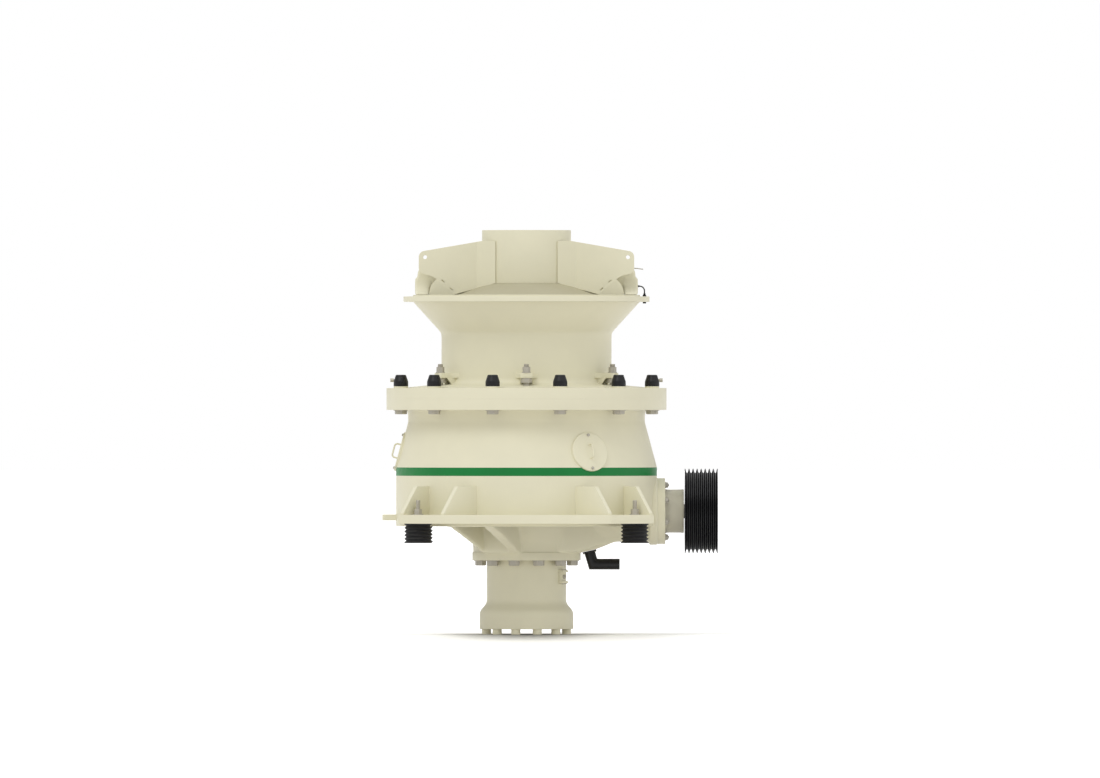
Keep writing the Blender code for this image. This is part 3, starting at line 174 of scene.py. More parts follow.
class CrusherSizes(PropertyGroup):
    """Sizes of the fasteners and of the painted band."""
    band_height: FloatProperty(
        name="Band height", description="Height of the green band under the shell's shoulder",
        default=0.052, min=0.01, max=0.2, unit="LENGTH")
    flange_bolt: FloatProperty(
        name="Flange bolt head", description="Width across corners of the main flange's bolt heads",
        default=0.078, min=0.02, max=0.12, unit="LENGTH")
    hub_bolt: FloatProperty(
        name="Hub bolt head", description="Width across corners of the hub flange's bolt heads",
        default=0.072, min=0.02, max=0.12, unit="LENGTH")
    anchor_stud: FloatProperty(
        name="Anchor stud", description="Thread diameter of the four anchor studs",
        default=0.028, min=0.01, max=0.05, unit="LENGTH")
    pinion_bolt: FloatProperty(
        name="Pinion bolt head", description="Width across corners of the pinion flange's bolts",
        default=0.036, min=0.01, max=0.08, unit="LENGTH")
    screw_count: IntProperty(
        name="Cover screws", description="Screws round the cylinder's cover and its hub flange",
        default=12, min=4, max=36)


class CrusherStudio(PropertyGroup):
    """Camera, lamps and floor."""
    distance: FloatProperty(
        name="Camera distance", description="Distance from the camera to the machine's axis",
        default=192.5, min=5.0, max=500.0, unit="LENGTH")
    focal: FloatProperty(
        name="Focal length", description="Long lens, so that the view is nearly parallel",
        default=1000.0, min=20.0, max=1200.0, unit="CAMERA")
    aim: FloatVectorProperty(
        name="Camera aim", description="Point that the camera looks at",
        subtype="TRANSLATION", size=3, default=(0.148, 0.0, 1.512))
    sky: FloatProperty(
        name="Sky level", description="Radiance of the studio's upper half at its top",
        default=0.78, min=0.0, max=3.0)
    horizon: FloatProperty(
        name="Horizon level", description="Radiance of the studio at eye level",
        default=0.82, min=0.0, max=3.0)
    floor_glow: FloatProperty(
        name="Floor glow", description="Soft light that the floor sends up, besides what it reflects",
        default=0.10, min=0.0, max=2.0)
    floor_fall: FloatProperty(
        name="Floor fall", description="Angle at which the floor drops in front of the machine",
        default=math.radians(7.0), subtype="ANGLE")
    key: FloatProperty(
        name="Key light", description="Strength of the soft light from the front left",
        default=0.70, min=0.0, max=10.0)
    key_turn: FloatProperty(
        name="Key direction", description="Turn of the key light from the front to the left",
        default=math.radians(32.0), subtype="ANGLE")
    key_rise: FloatProperty(
        name="Key height", description="Angle of the key light above the horizon",
        default=math.radians(50.0), subtype="ANGLE")
    fill: FloatProperty(
        name="Fill light", description="Strength of the low, very soft light from the right",
        default=0.20, min=0.0, max=10.0)


def softened(outline, cut=SOFT_EDGE, steps=3, closed=True, hold_axis=False):
    """Round an outline's corners; a point's third number is its own cut length."""
    made = []
    count = len(outline)
    for index, point in enumerate(outline):
        here = Vector(point[:2])
        reach = point[2] if len(point) > 2 else cut
        at_end = not closed and index in (0, count - 1)
        if at_end or reach <= 0.0 or (hold_axis and here.x < 1e-6):
            made.append((here.x, here.y))
            continue
        back = Vector(outline[index - 1][:2]) - here
        ahead = Vector(outline[(index + 1) % count][:2]) - here
        short = 0.48 * min(back.length, ahead.length)
        reach = min(reach, short)
        start = here + back.normalized() * reach
        end = here + ahead.normalized() * reach
        for step in range(steps + 1):
            share = step / steps
            spot = start * (1 - share) ** 2 + here * (2 * share * (1 - share)) + end * share ** 2
            made.append((spot.x, spot.y))
    return made


def arc(centre, radius, start, end, steps):
    """Points along an arc between two angles in degrees."""
    points = []
    for index in range(steps + 1):
        angle = math.radians(start + (end - start) * index / steps)
        points.append((centre[0] + radius * math.cos(angle), centre[1] + radius * math.sin(angle)))
    return points


def lathe(profile, sides=ROUND_MEDIUM, along="Z", centre=(0.0, 0.0, 0.0)):
    """Turn a closed profile of (radius, height) points about Z, or about X."""
    form = bmesh.new()
    rings = []
    for radius, height in profile:
        if radius < 1e-6:
            rings.append([form.verts.new((0.0, 0.0, height))])
            continue
        ring = []
        for step in range(sides):
            angle = 2.0 * math.pi * step / sides
            ring.append(form.verts.new((radius * math.cos(angle), radius * math.sin(angle), height)))
        rings.append(ring)
    pairs = list(zip(rings, rings[1:] + rings[:1]))
    for first, second in pairs:
        if len(first) == 1 and len(second) == 1:
            continue
        for step in range(sides):
            after = (step + 1) % sides
            corners = []
            for ring, place in ((first, step), (first, after), (second, after), (second, step)):
                vert = ring[place % len(ring)]
                if vert not in corners:
                    corners.append(vert)
            if len(corners) > 2:
                form.faces.new(corners)
    bmesh.ops.recalc_face_normals(form, faces=form.faces)
    if along == "X":
        bmesh.ops.transform(form, matrix=Matrix.Rotation(math.radians(90.0), 4, "Y"), verts=form.verts)
    bmesh.ops.translate(form, vec=Vector(centre), verts=form.verts)
    return form


def soft_lathe(profile, sides=ROUND_MEDIUM, cut=SOFT_EDGE, along="Z", centre=(0.0, 0.0, 0.0)):
    """Turn a profile after its corners are rounded."""
    return lathe(softened(profile, cut, hold_axis=True), sides, along, centre)


def prism(outline, low, high, across="Z", soft=0.0, segments=2):
    """Extrude a flat outline, up Z or along Y, with its edges rounded."""
    form = bmesh.new()
    if across == "Z":
        points = [form.verts.new((point[0], point[1], low)) for point in outline]
        rise = Vector((0.0, 0.0, high - low))
    else:
        points = [form.verts.new((point[0], low, point[1])) for point in outline]
        rise = Vector((0.0, high - low, 0.0))
    face = form.faces.new(points)
    grown = bmesh.ops.extrude_face_region(form, geom=[face])
    top = [item for item in grown["geom"] if isinstance(item, bmesh.types.BMVert)]
    bmesh.ops.translate(form, vec=rise, verts=top)
    bmesh.ops.recalc_face_normals(form, faces=form.faces)
    if soft > 0.0:
        bevelled(form, soft, segments)
    return form


def bevelled(form, width, segments):
    """Round the edges that turn by more than BEVEL_ANGLE."""
    edges = [edge for edge in form.edges
             if len(edge.link_faces) == 2 and edge.calc_face_angle() > math.radians(BEVEL_ANGLE)]
    bmesh.ops.bevel(form, geom=edges, offset=width, segments=segments, profile=0.6,
                    affect="EDGES", clamp_overlap=True)
    return form


def block(low, high, soft=0.0):
    """A box between two corners, with its edges rounded."""
    outline = [(low[0], low[1]), (high[0], low[1]), (high[0], high[1]), (low[0], high[1])]
    return prism(outline, low[2], high[2], soft=soft)


def tube(path, radius, sides):
    """Sweep a circle along a route in the XZ plane, with flat ends and mitred bends."""
    form = bmesh.new()
    route = [Vector(point) for point in path]
    rings = []
    for index, point in enumerate(route):
        ahead = route[min(index + 1, len(route) - 1)]
        behind = route[max(index - 1, 0)]
        heading = ((ahead - point).normalized() + (point - behind).normalized()).normalized()
        across = Vector((0.0, 1.0, 0.0)).cross(heading).normalized()
        level = heading.cross(across).normalized()
        if 0 < index < len(route) - 1:
            stretch = 1.0 / max(0.5, (point - behind).normalized().dot(heading))
        else:
            stretch = 1.0
        ring = []
        for step in range(sides):
            angle = 2.0 * math.pi * step / sides
            offset = across * (radius * stretch * math.cos(angle)) + level * (radius * math.sin(angle))
            ring.append(form.verts.new(point + offset))
        rings.append(ring)
    for first, second in zip(rings, rings[1:]):
        for step in range(sides):
            after = (step + 1) % sides
            form.faces.new((first[step], first[after], second[after], second[step]))
    form.faces.new(list(reversed(rings[0])))
    form.faces.new(rings[-1])
    bmesh.ops.recalc_face_normals(form, faces=form.faces)
    return form


def placed(form, matrix):
    bmesh.ops.transform(form, matrix=matrix, verts=form.verts)
    return form


def turned(form, degrees):
    return placed(form, Matrix.Rotation(math.radians(degrees), 4, "Z"))


def moved(form, offset):
    return placed(form, Matrix.Translation(Vector(offset)))


def joined(forms):
    """All the forms' faces in one bmesh."""
    whole = bmesh.new()
    for form in forms:
        mesh = bpy.data.meshes.new("joined")
        form.to_mesh(mesh)
        form.free()
        whole.from_mesh(mesh)
        bpy.data.meshes.remove(mesh)
    return whole


def repeated(form, matrices):
    """Copies of one form at each matrix, in one bmesh."""
    copies = []
    for matrix in matrices:
        copies.append(placed(form.copy(), matrix))
    form.free()
    return joined(copies)


def ring_places(count, radius, level, first=0.0):
    """Matrices round the machine's axis, with local X pointing outward."""
    places = []
    for index in range(count):
        turn = Matrix.Rotation(math.radians(first + 360.0 * index / count), 4, "Z")
        places.append(turn @ Matrix.Translation((radius, 0.0, level)))
    return places


def scratch_object(form):
    """A form as an object that only modifiers use."""
    mesh = bpy.data.meshes.new("scratch")
    form.to_mesh(mesh)
    form.free()
    item = bpy.data.objects.new("scratch", mesh)
    bpy.context.scene.collection.objects.link(item)
    return item


def settled(item, extra=()):
    """A scratch object's final mesh as a bmesh; the scratch objects are removed."""
    graph = bpy.context.evaluated_depsgraph_get()
    form = bmesh.new()
    form.from_object(item, graph)
    for old in (item, *extra):
        mesh = old.data
        bpy.data.objects.remove(old)
        bpy.data.meshes.remove(mesh)
    return form


def carved(form, tool):
    """The form with the tool's volume cut away."""
    item = scratch_object(form)
    cutter = scratch_object(tool)
    step = item.modifiers.new("Carve", "BOOLEAN")
    step.operation = "DIFFERENCE"
    step.solver = "EXACT"
    step.object = cutter
    return settled(item, (cutter,))


def cast(form, grain, rounds):
    """Fuse overlapping forms into one casting with filleted corners."""
    item = scratch_object(form)
    fuse = item.modifiers.new("Fuse", "REMESH")
    fuse.mode = "VOXEL"
    fuse.voxel_size = grain
    fuse.adaptivity = 0.0
    ease = item.modifiers.new("Ease", "SMOOTH")
    ease.factor = 0.6
    ease.iterations = rounds
    return settled(item)


def piece(name, form, material, stands_for=(), body="frame", sharp=30.0):
    """Put a form into the scene as one named piece that rides on a body."""
    mesh = bpy.data.meshes.new(name)
    form.to_mesh(mesh)
    form.free()
    mesh.shade_smooth()
    mesh.set_sharp_from_angle(angle=math.radians(sharp))
    mesh.materials.append(material)
    item = bpy.data.objects.new(name, mesh)
    bpy.context.scene.collection.objects.link(item)
    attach(item, body)
    if stands_for:
        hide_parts(*stands_for)
    return item


def hex_form(width, height):
    """A hexagon head of that width across corners, chamfered on top, standing on z = 0."""
    form = bmesh.new()
    flat = width / 2.0 * math.cos(math.radians(30.0))
    top_radius = flat * 0.96
    samples = 36
    low_ring, side_ring, top_ring = [], [], []
    for step in range(samples):
        angle = 2.0 * math.pi * step / samples
        local = (angle + math.radians(30.0)) % math.radians(60.0) - math.radians(30.0)
        reach = flat / math.cos(local)
        drop = (reach - top_radius) * 0.6
        way = Vector((math.cos(angle), math.sin(angle), 0.0))
        low_ring.append(form.verts.new(way * reach))
        side_ring.append(form.verts.new(way * reach + Vector((0.0, 0.0, height - drop))))
        top_ring.append(form.verts.new(way * top_radius + Vector((0.0, 0.0, height))))
    for first, second in ((low_ring, side_ring), (side_ring, top_ring)):
        for step in range(samples):
            after = (step + 1) % samples
            form.faces.new((first[step], first[after], second[after], second[step]))
    form.faces.new(top_ring)
    form.faces.new(list(reversed(low_ring)))
    bmesh.ops.recalc_face_normals(form, faces=form.faces)
    return form


def washer(radius, height):
    """A flat disc that stands on z = 0."""
    profile = [(0.0, 0.0), (radius, 0.0), (radius, height), (0.0, height)]
    return soft_lathe(profile, ROUND_SMALL, cut=0.0008)


def threaded(radius, low, high, pitch):
    """A stud with its thread as fine ridges and a chamfered end."""
    profile = [(0.0, low), (radius, low)]
    plain_end = 0.004
    turns = int((high - low - plain_end) / pitch)
    for index in range(turns):
        level = low + index * pitch
        profile.append((radius, level + pitch * 0.10))
        profile.append((radius * 0.90, level + pitch * 0.55))
    profile += [(radius, low + turns * pitch), (radius, high - 0.003), (radius - 0.003, high), (0.0, high)]
    return lathe(profile, 20)


def bolt_head(width, height, grip=0.0):
    """Washer, hexagon head and, if it has one, a shank end above the head."""
    thick = 0.004
    parts = [washer(width * 0.58, thick), moved(hex_form(width, height - thick), (0.0, 0.0, thick))]
    if grip > 0.0:
        parts.append(threaded(width * 0.27, height - 0.002, height + grip, 0.003))
    return joined(parts)


def flipped():
    """A half turn about X, which points a piece down."""
    return Matrix.Rotation(math.pi, 4, "X")


def pointing_x():
    """A quarter turn about Y, which points a piece along +X."""
    return Matrix.Rotation(math.radians(90.0), 4, "Y")


class Nodes:
    """Short calls for building one node tree."""

    def __init__(self, tree):
        self.tree = tree
        self.tree.nodes.clear()

    def add(self, kind, **values):
        made = self.tree.nodes.new(kind)
        for key, value in values.items():
            if key in made.bl_rna.properties:
                setattr(made, key, value)
            else:
                self.feed(made.inputs[key.replace("_", " ")], value)
        return made

    def feed(self, socket, value):
        if isinstance(value, bpy.types.NodeSocket):
            self.tree.links.new(value, socket)
        else:
            socket.default_value = value

    def math(self, operation, first, second=0.0, clamp=False):
        made = self.tree.nodes.new("ShaderNodeMath")
        made.operation = operation
        made.use_clamp = clamp
        self.feed(made.inputs[0], first)
        self.feed(made.inputs[1], second)
        return made.outputs[0]

    def mix(self, share, first, second):
        made = self.tree.nodes.new("ShaderNodeMix")
        made.data_type = "RGBA"
        self.feed(made.inputs[0], share)
        self.feed(made.inputs[6], first)
        self.feed(made.inputs[7], second)
        return made.outputs[2]

    def choose(self, share, first, second):
        """The first node's shader where the share is 0, the second's where it is 1."""
        made = self.tree.nodes.new("ShaderNodeMixShader")
        self.feed(made.inputs[0], share)
        self.feed(made.inputs[1], first.outputs[0])
        self.feed(made.inputs[2], second.outputs[0])
        return made

    def spread(self, value, low, high, to_low=0.0, to_high=1.0):
        made = self.tree.nodes.new("ShaderNodeMapRange")
        for socket, number in zip(made.inputs, (value, low, high, to_low, to_high)):
            self.feed(socket, number)
        return made.outputs[0]

    def noise(self, place, scale, detail=3.0, roughness=0.55):
        made = self.tree.nodes.new("ShaderNodeTexNoise")
        self.feed(made.inputs["Vector"], place)
        self.feed(made.inputs["Scale"], scale)
        self.feed(made.inputs["Detail"], detail)
        self.feed(made.inputs["Roughness"], roughness)
        return made.outputs[0]


def new_group(name, inputs, outputs):
    """An empty shader node group with named sockets, and its tree helper."""
    tree = bpy.data.node_groups.new(name, "ShaderNodeTree")
    for label, kind, value in inputs:
        socket = tree.interface.new_socket(name=label, in_out="INPUT", socket_type=kind)
        socket.default_value = value
    for label, kind in outputs:
        tree.interface.new_socket(name=label, in_out="OUTPUT", socket_type=kind)
    nodes = Nodes(tree)
    source = tree.nodes.new("NodeGroupInput")
    target = tree.nodes.new("NodeGroupOutput")
    return tree, nodes, source, target


def make_cast_skin():
    """Mottled tone and fine orange-peel relief of thick paint over a casting."""
    tree, nodes, source, target = new_group(
        "Cast skin",
        [("Mottle Scale", "NodeSocketFloat", 3.0), ("Peel Scale", "NodeSocketFloat", 230.0)],
        [("Mottle", "NodeSocketFloat"), ("Height", "NodeSocketFloat"), ("Gloss Change", "NodeSocketFloat")])
    place = nodes.add("ShaderNodeTexCoord").outputs["Object"]
    broad = nodes.noise(place, source.outputs["Mottle Scale"], 4.0, 0.6)
    peel = nodes.noise(place, source.outputs["Peel Scale"], 2.0, 0.5)
    cast_scale = nodes.math("MULTIPLY", source.outputs["Peel Scale"], 0.16)
    waves = nodes.noise(place, cast_scale, 2.0, 0.5)
    height = nodes.math("ADD", nodes.math("MULTIPLY", peel, 0.45), nodes.math("MULTIPLY", waves, 0.55))
    nodes.feed(target.inputs["Mottle"], nodes.spread(broad, 0.32, 0.68))
    nodes.feed(target.inputs["Height"], height)
    nodes.feed(target.inputs["Gloss Change"], nodes.spread(waves, 0.3, 0.7, -0.05, 0.05))
    return tree


def make_edge_wear_and_highlight():
    """Mask of the outer edges, where paint wears thin and lighter, and where edges get a painted highlight.
    """
    tree, nodes, source, target = new_group(
        "Edge wear and highlight",
        [("Radius", "NodeSocketFloat", 0.006), ("Break Up", "NodeSocketFloat", 30.0)],
        [("Mask", "NodeSocketFloat")])
    rounded = nodes.add("ShaderNodeBevel", samples=6)
    nodes.feed(rounded.inputs["Radius"], source.outputs["Radius"])
    plain = nodes.add("ShaderNodeNewGeometry")
    along = nodes.add("ShaderNodeVectorMath", operation="DOT_PRODUCT")
    nodes.feed(along.inputs[0], rounded.outputs["Normal"])
    nodes.feed(along.inputs[1], plain.outputs["Normal"])
    bend = nodes.spread(along.outputs["Value"], 0.995, 0.90)
    place = nodes.add("ShaderNodeTexCoord").outputs["Object"]
    patches = nodes.spread(nodes.noise(place, source.outputs["Break Up"], 4.0, 0.65), 0.35, 0.65, 0.35, 1.0)
    nodes.feed(target.inputs["Mask"], nodes.math("MULTIPLY", bend, patches, clamp=True))
    return tree


def make_settled_dust():
    """Mask of faces that look up, broken up by noise."""
    tree, nodes, source, target = new_group(
        "Settled dust",
        [("Break Up", "NodeSocketFloat", 7.0)],
        [("Mask", "NodeSocketFloat")])
    plain = nodes.add("ShaderNodeNewGeometry")
    parts = nodes.add("ShaderNodeSeparateXYZ")
    nodes.feed(parts.inputs[0], plain.outputs["Normal"])
    upward = nodes.spread(parts.outputs["Z"], 0.45, 0.95)
    place = nodes.add("ShaderNodeTexCoord").outputs["Object"]
    patches = nodes.spread(nodes.noise(place, source.outputs["Break Up"], 5.0, 0.65), 0.30, 0.70, 0.2, 1.0)
    nodes.feed(target.inputs["Mask"], nodes.math("MULTIPLY", upward, patches, clamp=True))
    return tree


def make_turned_marks():
    """Fine tool marks that run round the axis of a turned or drawn piece."""
    tree, nodes, source, target = new_group(
        "Turned marks",
        [("Scale", "NodeSocketFloat", 60.0), ("Stretch", "NodeSocketVector", (1.0, 1.0, 12.0))],
        [("Streaks", "NodeSocketFloat"), ("Height", "NodeSocketFloat")])
    place = nodes.add("ShaderNodeTexCoord").outputs["Object"]
    pulled = nodes.add("ShaderNodeVectorMath", operation="MULTIPLY")
    nodes.feed(pulled.inputs[0], place)
    nodes.feed(pulled.inputs[1], source.outputs["Stretch"])
    streaks = nodes.noise(pulled.outputs["Vector"], source.outputs["Scale"], 3.0, 0.6)
    nodes.feed(target.inputs["Streaks"], nodes.spread(streaks, 0.3, 0.7))
    nodes.feed(target.inputs["Height"], streaks)
    return tree


GROUP_MAKERS = {
    "Cast skin": make_cast_skin,
    "Edge wear and highlight": make_edge_wear_and_highlight,
    "Settled dust": make_settled_dust,
    "Turned marks": make_turned_marks,
}


def use_group(nodes, name, **values):
    """Place a node group, made once, with this material's own values."""
    tree = bpy.data.node_groups.get(name) or GROUP_MAKERS[name]()
    made = nodes.add("ShaderNodeGroup")
    made.node_tree = tree
    for key, value in values.items():
        nodes.feed(made.inputs[key.replace("_", " ")], value)
    return made.outputs


def new_material(name, roughness, metallic=0.0, specular=0.5):
    """A material with its Principled shader joined to the output."""
    material = bpy.data.materials.new(name)
    material.use_nodes = True
    nodes = Nodes(material.node_tree)
    shader = nodes.add("ShaderNodeBsdfPrincipled")
    shader.inputs["Roughness"].default_value = roughness
    shader.inputs["Metallic"].default_value = metallic
    shader.inputs["Specular IOR Level"].default_value = specular
    output = nodes.add("ShaderNodeOutputMaterial")
    nodes.feed(output.inputs["Surface"], shader.outputs["BSDF"])
    return material, nodes, shader


def relief(nodes, shader, height, distance):
    """Fine bumps of the given height in metres."""
    bump = nodes.add("ShaderNodeBump")
    bump.inputs["Distance"].default_value = distance
    bump.inputs["Strength"].default_value = 1.0
    nodes.feed(bump.inputs["Height"], height)
    nodes.feed(shader.inputs["Normal"], bump.outputs["Normal"])


def shade(colour, factor):
    """The colour made darker or lighter."""
    return (colour[0] * factor, colour[1] * factor, colour[2] * factor, 1.0)


def paint(name, colour, dust, roughness=0.42, band=None, dust_share=0.35):
    """Thick satin paint: mottled, lighter on its edges from wear and a painted highlight, dusty on top."""
    material, nodes, shader = new_material(name, roughness, specular=0.24)
    skin = use_group(nodes, "Cast skin", Mottle_Scale=2.6, Peel_Scale=210.0)
    base = nodes.mix(skin["Mottle"], shade(colour, 0.975), shade(colour, 1.02))
    if band:
        low, high, band_colour = band
        place = nodes.add("ShaderNodeTexCoord").outputs["Object"]
        parts = nodes.add("ShaderNodeSeparateXYZ")
        nodes.feed(parts.inputs[0], place)
        above = nodes.math("GREATER_THAN", parts.outputs["Z"], low)
        below = nodes.math("LESS_THAN", parts.outputs["Z"], high)
        out = nodes.add("ShaderNodeVectorMath", operation="LENGTH")
        flat = nodes.add("ShaderNodeCombineXYZ")
        nodes.feed(flat.inputs["X"], parts.outputs["X"])
        nodes.feed(flat.inputs["Y"], parts.outputs["Y"])
        nodes.feed(out.inputs[0], flat.outputs[0])
        outside = nodes.math("GREATER_THAN", out.outputs["Value"], SHELL_RADIUS - SHELL_WALL / 2.0)
        inside_band = nodes.math("MULTIPLY", nodes.math("MULTIPLY", above, below), outside)
        green = nodes.mix(skin["Mottle"], shade(band_colour, 0.93), shade(band_colour, 1.06))
        base = nodes.mix(inside_band, base, green)
    dusty = use_group(nodes, "Settled dust", Break_Up=6.0)
    base = nodes.mix(nodes.math("MULTIPLY", dusty["Mask"], dust_share), base, tuple(dust))
    wear_and_highlight = use_group(nodes, "Edge wear and highlight", Radius=0.005, Break_Up=22.0)
    # Edges painted lighter: partly paint wear, partly a painted highlight along the edges.
    rubbed_and_lit = nodes.math("MULTIPLY", wear_and_highlight["Mask"], 0.12)
    base = nodes.mix(rubbed_and_lit, base, shade(colour, 1.14))
    nodes.feed(shader.inputs["Base Color"], base)
    rough = nodes.math("ADD", skin["Gloss Change"], roughness)
    rough = nodes.math("ADD", rough, nodes.math("MULTIPLY", dusty["Mask"], 0.12), clamp=True)
    nodes.feed(shader.inputs["Roughness"], rough)
    relief(nodes, shader, skin["Height"], PEEL_HEIGHT)
    return material


def black_goods(name, colour, roughness, grain, peel, lift):
    """Moulded rubber or plastic: fine grain, edges scuffed grey, a little dust."""
    material, nodes, shader = new_material(name, roughness, specular=0.30)
    skin = use_group(nodes, "Cast skin", Mottle_Scale=18.0, Peel_Scale=grain)
    base = nodes.mix(skin["Mottle"], shade(colour, 0.85), shade(colour, 1.25))
    wear_and_highlight = use_group(nodes, "Edge wear and highlight", Radius=0.003, Break_Up=60.0)
    base = nodes.mix(nodes.math("MULTIPLY", wear_and_highlight["Mask"], 0.5), base, shade(colour, lift))
    dusty = use_group(nodes, "Settled dust", Break_Up=30.0)
    base = nodes.mix(nodes.math("MULTIPLY", dusty["Mask"], 0.06), base, (0.45, 0.43, 0.36, 1.0))
    nodes.feed(shader.inputs["Base Color"], base)
    nodes.feed(shader.inputs["Roughness"], nodes.math("ADD", skin["Gloss Change"], roughness))
    relief(nodes, shader, skin["Height"], peel)
    return material


def metal(name, colour, roughness, metallic, stretch, scale, depth, spread=0.12):
    """Plated, turned or drawn metal with fine directional marks."""
    material, nodes, shader = new_material(name, roughness, metallic)
    marks = use_group(nodes, "Turned marks", Scale=scale, Stretch=stretch)
    base = nodes.mix(marks["Streaks"], shade(colour, 1.0 - spread), shade(colour, 1.0 + spread))
    wear_and_highlight = use_group(nodes, "Edge wear and highlight", Radius=0.002, Break_Up=90.0)
    base = nodes.mix(nodes.math("MULTIPLY", wear_and_highlight["Mask"], 0.5), base, shade(colour, 1.25))
    nodes.feed(shader.inputs["Base Color"], base)
    rough = nodes.spread(marks["Streaks"], 0.0, 1.0, roughness - 0.08, roughness + 0.10)
    nodes.feed(shader.inputs["Roughness"], rough)
    relief(nodes, shader, marks["Height"], depth)
    return material


def liner_steel(name, colour):
    """Rough cast manganese steel, polished where rock slides and brown with rust elsewhere."""
    material, nodes, shader = new_material(name, 0.5, 0.85)
    skin = use_group(nodes, "Cast skin", Mottle_Scale=9.0, Peel_Scale=90.0)
    marks = use_group(nodes, "Turned marks", Scale=14.0, Stretch=(3.0, 3.0, 1.0))
    rust = nodes.mix(marks["Streaks"], (0.110, 0.072, 0.048, 1.0), (0.175, 0.125, 0.090, 1.0))
    base = nodes.mix(skin["Mottle"], rust, tuple(colour))
    nodes.feed(shader.inputs["Base Color"], base)
    nodes.feed(shader.inputs["Metallic"], nodes.spread(skin["Mottle"], 0.0, 1.0, 0.35, 0.90))
    nodes.feed(shader.inputs["Roughness"], nodes.spread(skin["Mottle"], 0.0, 1.0, 0.72, 0.42))
    relief(nodes, shader, skin["Height"], 0.0015)
    return material


def material_of(context, name):
    """The named finish, made once from the panel's colours."""
    known = bpy.data.materials.get(name)
    if known:
        return known
    paints = context.scene.crusher_paints
    dust = paints.dust
    top = SHELL_SHOULDER + 0.0004
    band = (SHELL_SHOULDER - context.scene.crusher_sizes.band_height, top, paints.band)
    maker, *values, options = {
        "Cream paint": (paint, paints.cream, dust, {}),
        "Banded paint": (paint, paints.cream, dust, {"band": band}),
        "Khaki paint": (paint, paints.khaki, dust, {"roughness": 0.55, "dust_share": 0.12}),
        "Tube paint": (paint, paints.tube, dust, {"roughness": 0.38, "dust_share": 0.10}),
        "Mount rubber": (black_goods, paints.rubber, 0.62, 420.0, 0.00025, 3.0, {}),
        "Cap plastic": (black_goods, paints.plastic, 0.36, 520.0, 0.00010, 2.4, {}),
        "Bolt zinc": (metal, paints.bolt, 0.48, 0.20, (1.0, 1.0, 5.0), 120.0, 0.00008, {}),
        "Turned steel": (metal, paints.steel, 0.30, 1.0, (16.0, 1.0, 1.0), 70.0, 0.00006, {}),
        "Pulley iron": (metal, paints.iron, 0.36, 0.45, (26.0, 1.0, 1.0), 40.0, 0.00008, {"spread": 0.30}),
        "Manganese steel": (liner_steel, paints.liner, {}),
    }[name]
    return maker(name, *values, **options)


class CRUSHER_OT_cylinder(Operator):
    """Build the hydraulic cylinder, its cover with screws and its valve block"""
    bl_idname = "crusher.cylinder"
    bl_label = "Hydraulic Cylinder"

    foot_shoulder: FloatProperty(
        name="Foot shoulder", description="Level where the foot starts to draw in",
        default=0.112, unit="LENGTH")
    foot_neck: FloatProperty(
        name="Foot neck", description="Level where the foot meets the cylinder's wall",
        default=0.164, unit="LENGTH")
    valve_azimuth: FloatProperty(
        name="Valve azimuth", description="Place of the valve block round the cylinder",
        default=math.radians(-30.0), subtype="ANGLE")

    def execute(self, context):
        cream = material_of(context, "Cream paint")
        zinc = material_of(context, "Bolt zinc")
        sizes = context.scene.crusher_sizes
        foot = CYLINDER_HIGH.x
        foot_flare, foot_round = 0.0455, 0.024
        screw_circle, screw_radius, socket_depth = 0.261, 0.0285, 0.012
        wall = foot - foot_flare
        cover = [(0.0, 0.0), (foot, 0.0, 0.004), (foot, COVER_HIGH.z, 0.0), (0.0, COVER_HIGH.z)]
        rings = [soft_lathe(cover, ROUND_MEDIUM)]
        step = 360.0 / sizes.screw_count
        for place in ring_places(sizes.screw_count, screw_circle, 0.0, step / 2.0):
            rings.append(placed(socket_head(screw_radius, -GROUND, socket_depth), place @ flipped()))
        piece("cover_with_screws", joined(rings), cream, ["cylinder_cover"])

        low, top = CYLINDER_LOW.z, CYLINDER_HIGH.z
        profile = [(0.0, low), (foot, low, 0.0), (foot, self.foot_shoulder, foot_round),
                   (wall, self.foot_neck, foot_round), (wall, top, 0.002), (0.0, top)]
        body = lathe(softened(profile, steps=8, hold_axis=True))
        piece("cylinder_body", body, cream, ["hydraulic_cylinder"])
        self.valve(wall, cream, zinc)
        return {"FINISHED"}

    def valve(self, wall, cream, zinc):
        """A block between two plates that stand out further, its union, plug and four screws."""
        low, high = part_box("cylinder_port_block")
        level = (low.z + high.z) / 2.0
        top, bottom = (high.z - low.z) / 2.0, (low.z - high.z) / 2.0
        half, upper_plate, lower_plate = 0.030, 0.012, 0.014
        core_half = half * 0.86
        core_face, plate_face = wall + 0.022, wall + 0.036
        turn = math.degrees(self.valve_azimuth)
        inner = wall - 0.030
        core = block((inner, -core_half, level + bottom + 0.004),
                     (core_face, core_half, level + top - 0.004), 0.003)
        upper = block((inner, -half, level + top - upper_plate), (plate_face, half, level + top), 0.0015)
        lower = block((inner, -half, level + bottom),
                      (plate_face, half, level + bottom + lower_plate), 0.0015)
        body = turned(joined([core, upper, lower]), turn)
        piece("valve_block", body, cream, ["cylinder_port_block"])
        union = placed(hex_form(0.030, 0.012), Matrix.Translation((wall + 0.020, 0.0, level)) @ pointing_x())
        plug = placed(hex_form(0.018, 0.006), Matrix.Translation((wall + 0.030, 0.0, level)) @ pointing_x())
        screws = []
        for side in (-1.0, 1.0):
            for rise, way in ((top, Matrix.Identity(4)), (bottom, flipped())):
                spot = Matrix.Translation((wall + 0.024, side * half * 0.55, level + rise))
                screws.append(placed(hex_form(0.016, 0.006), spot @ way))
        fittings = turned(joined([union, plug] + screws), turn)
        piece("valve_fittings", fittings, zinc)


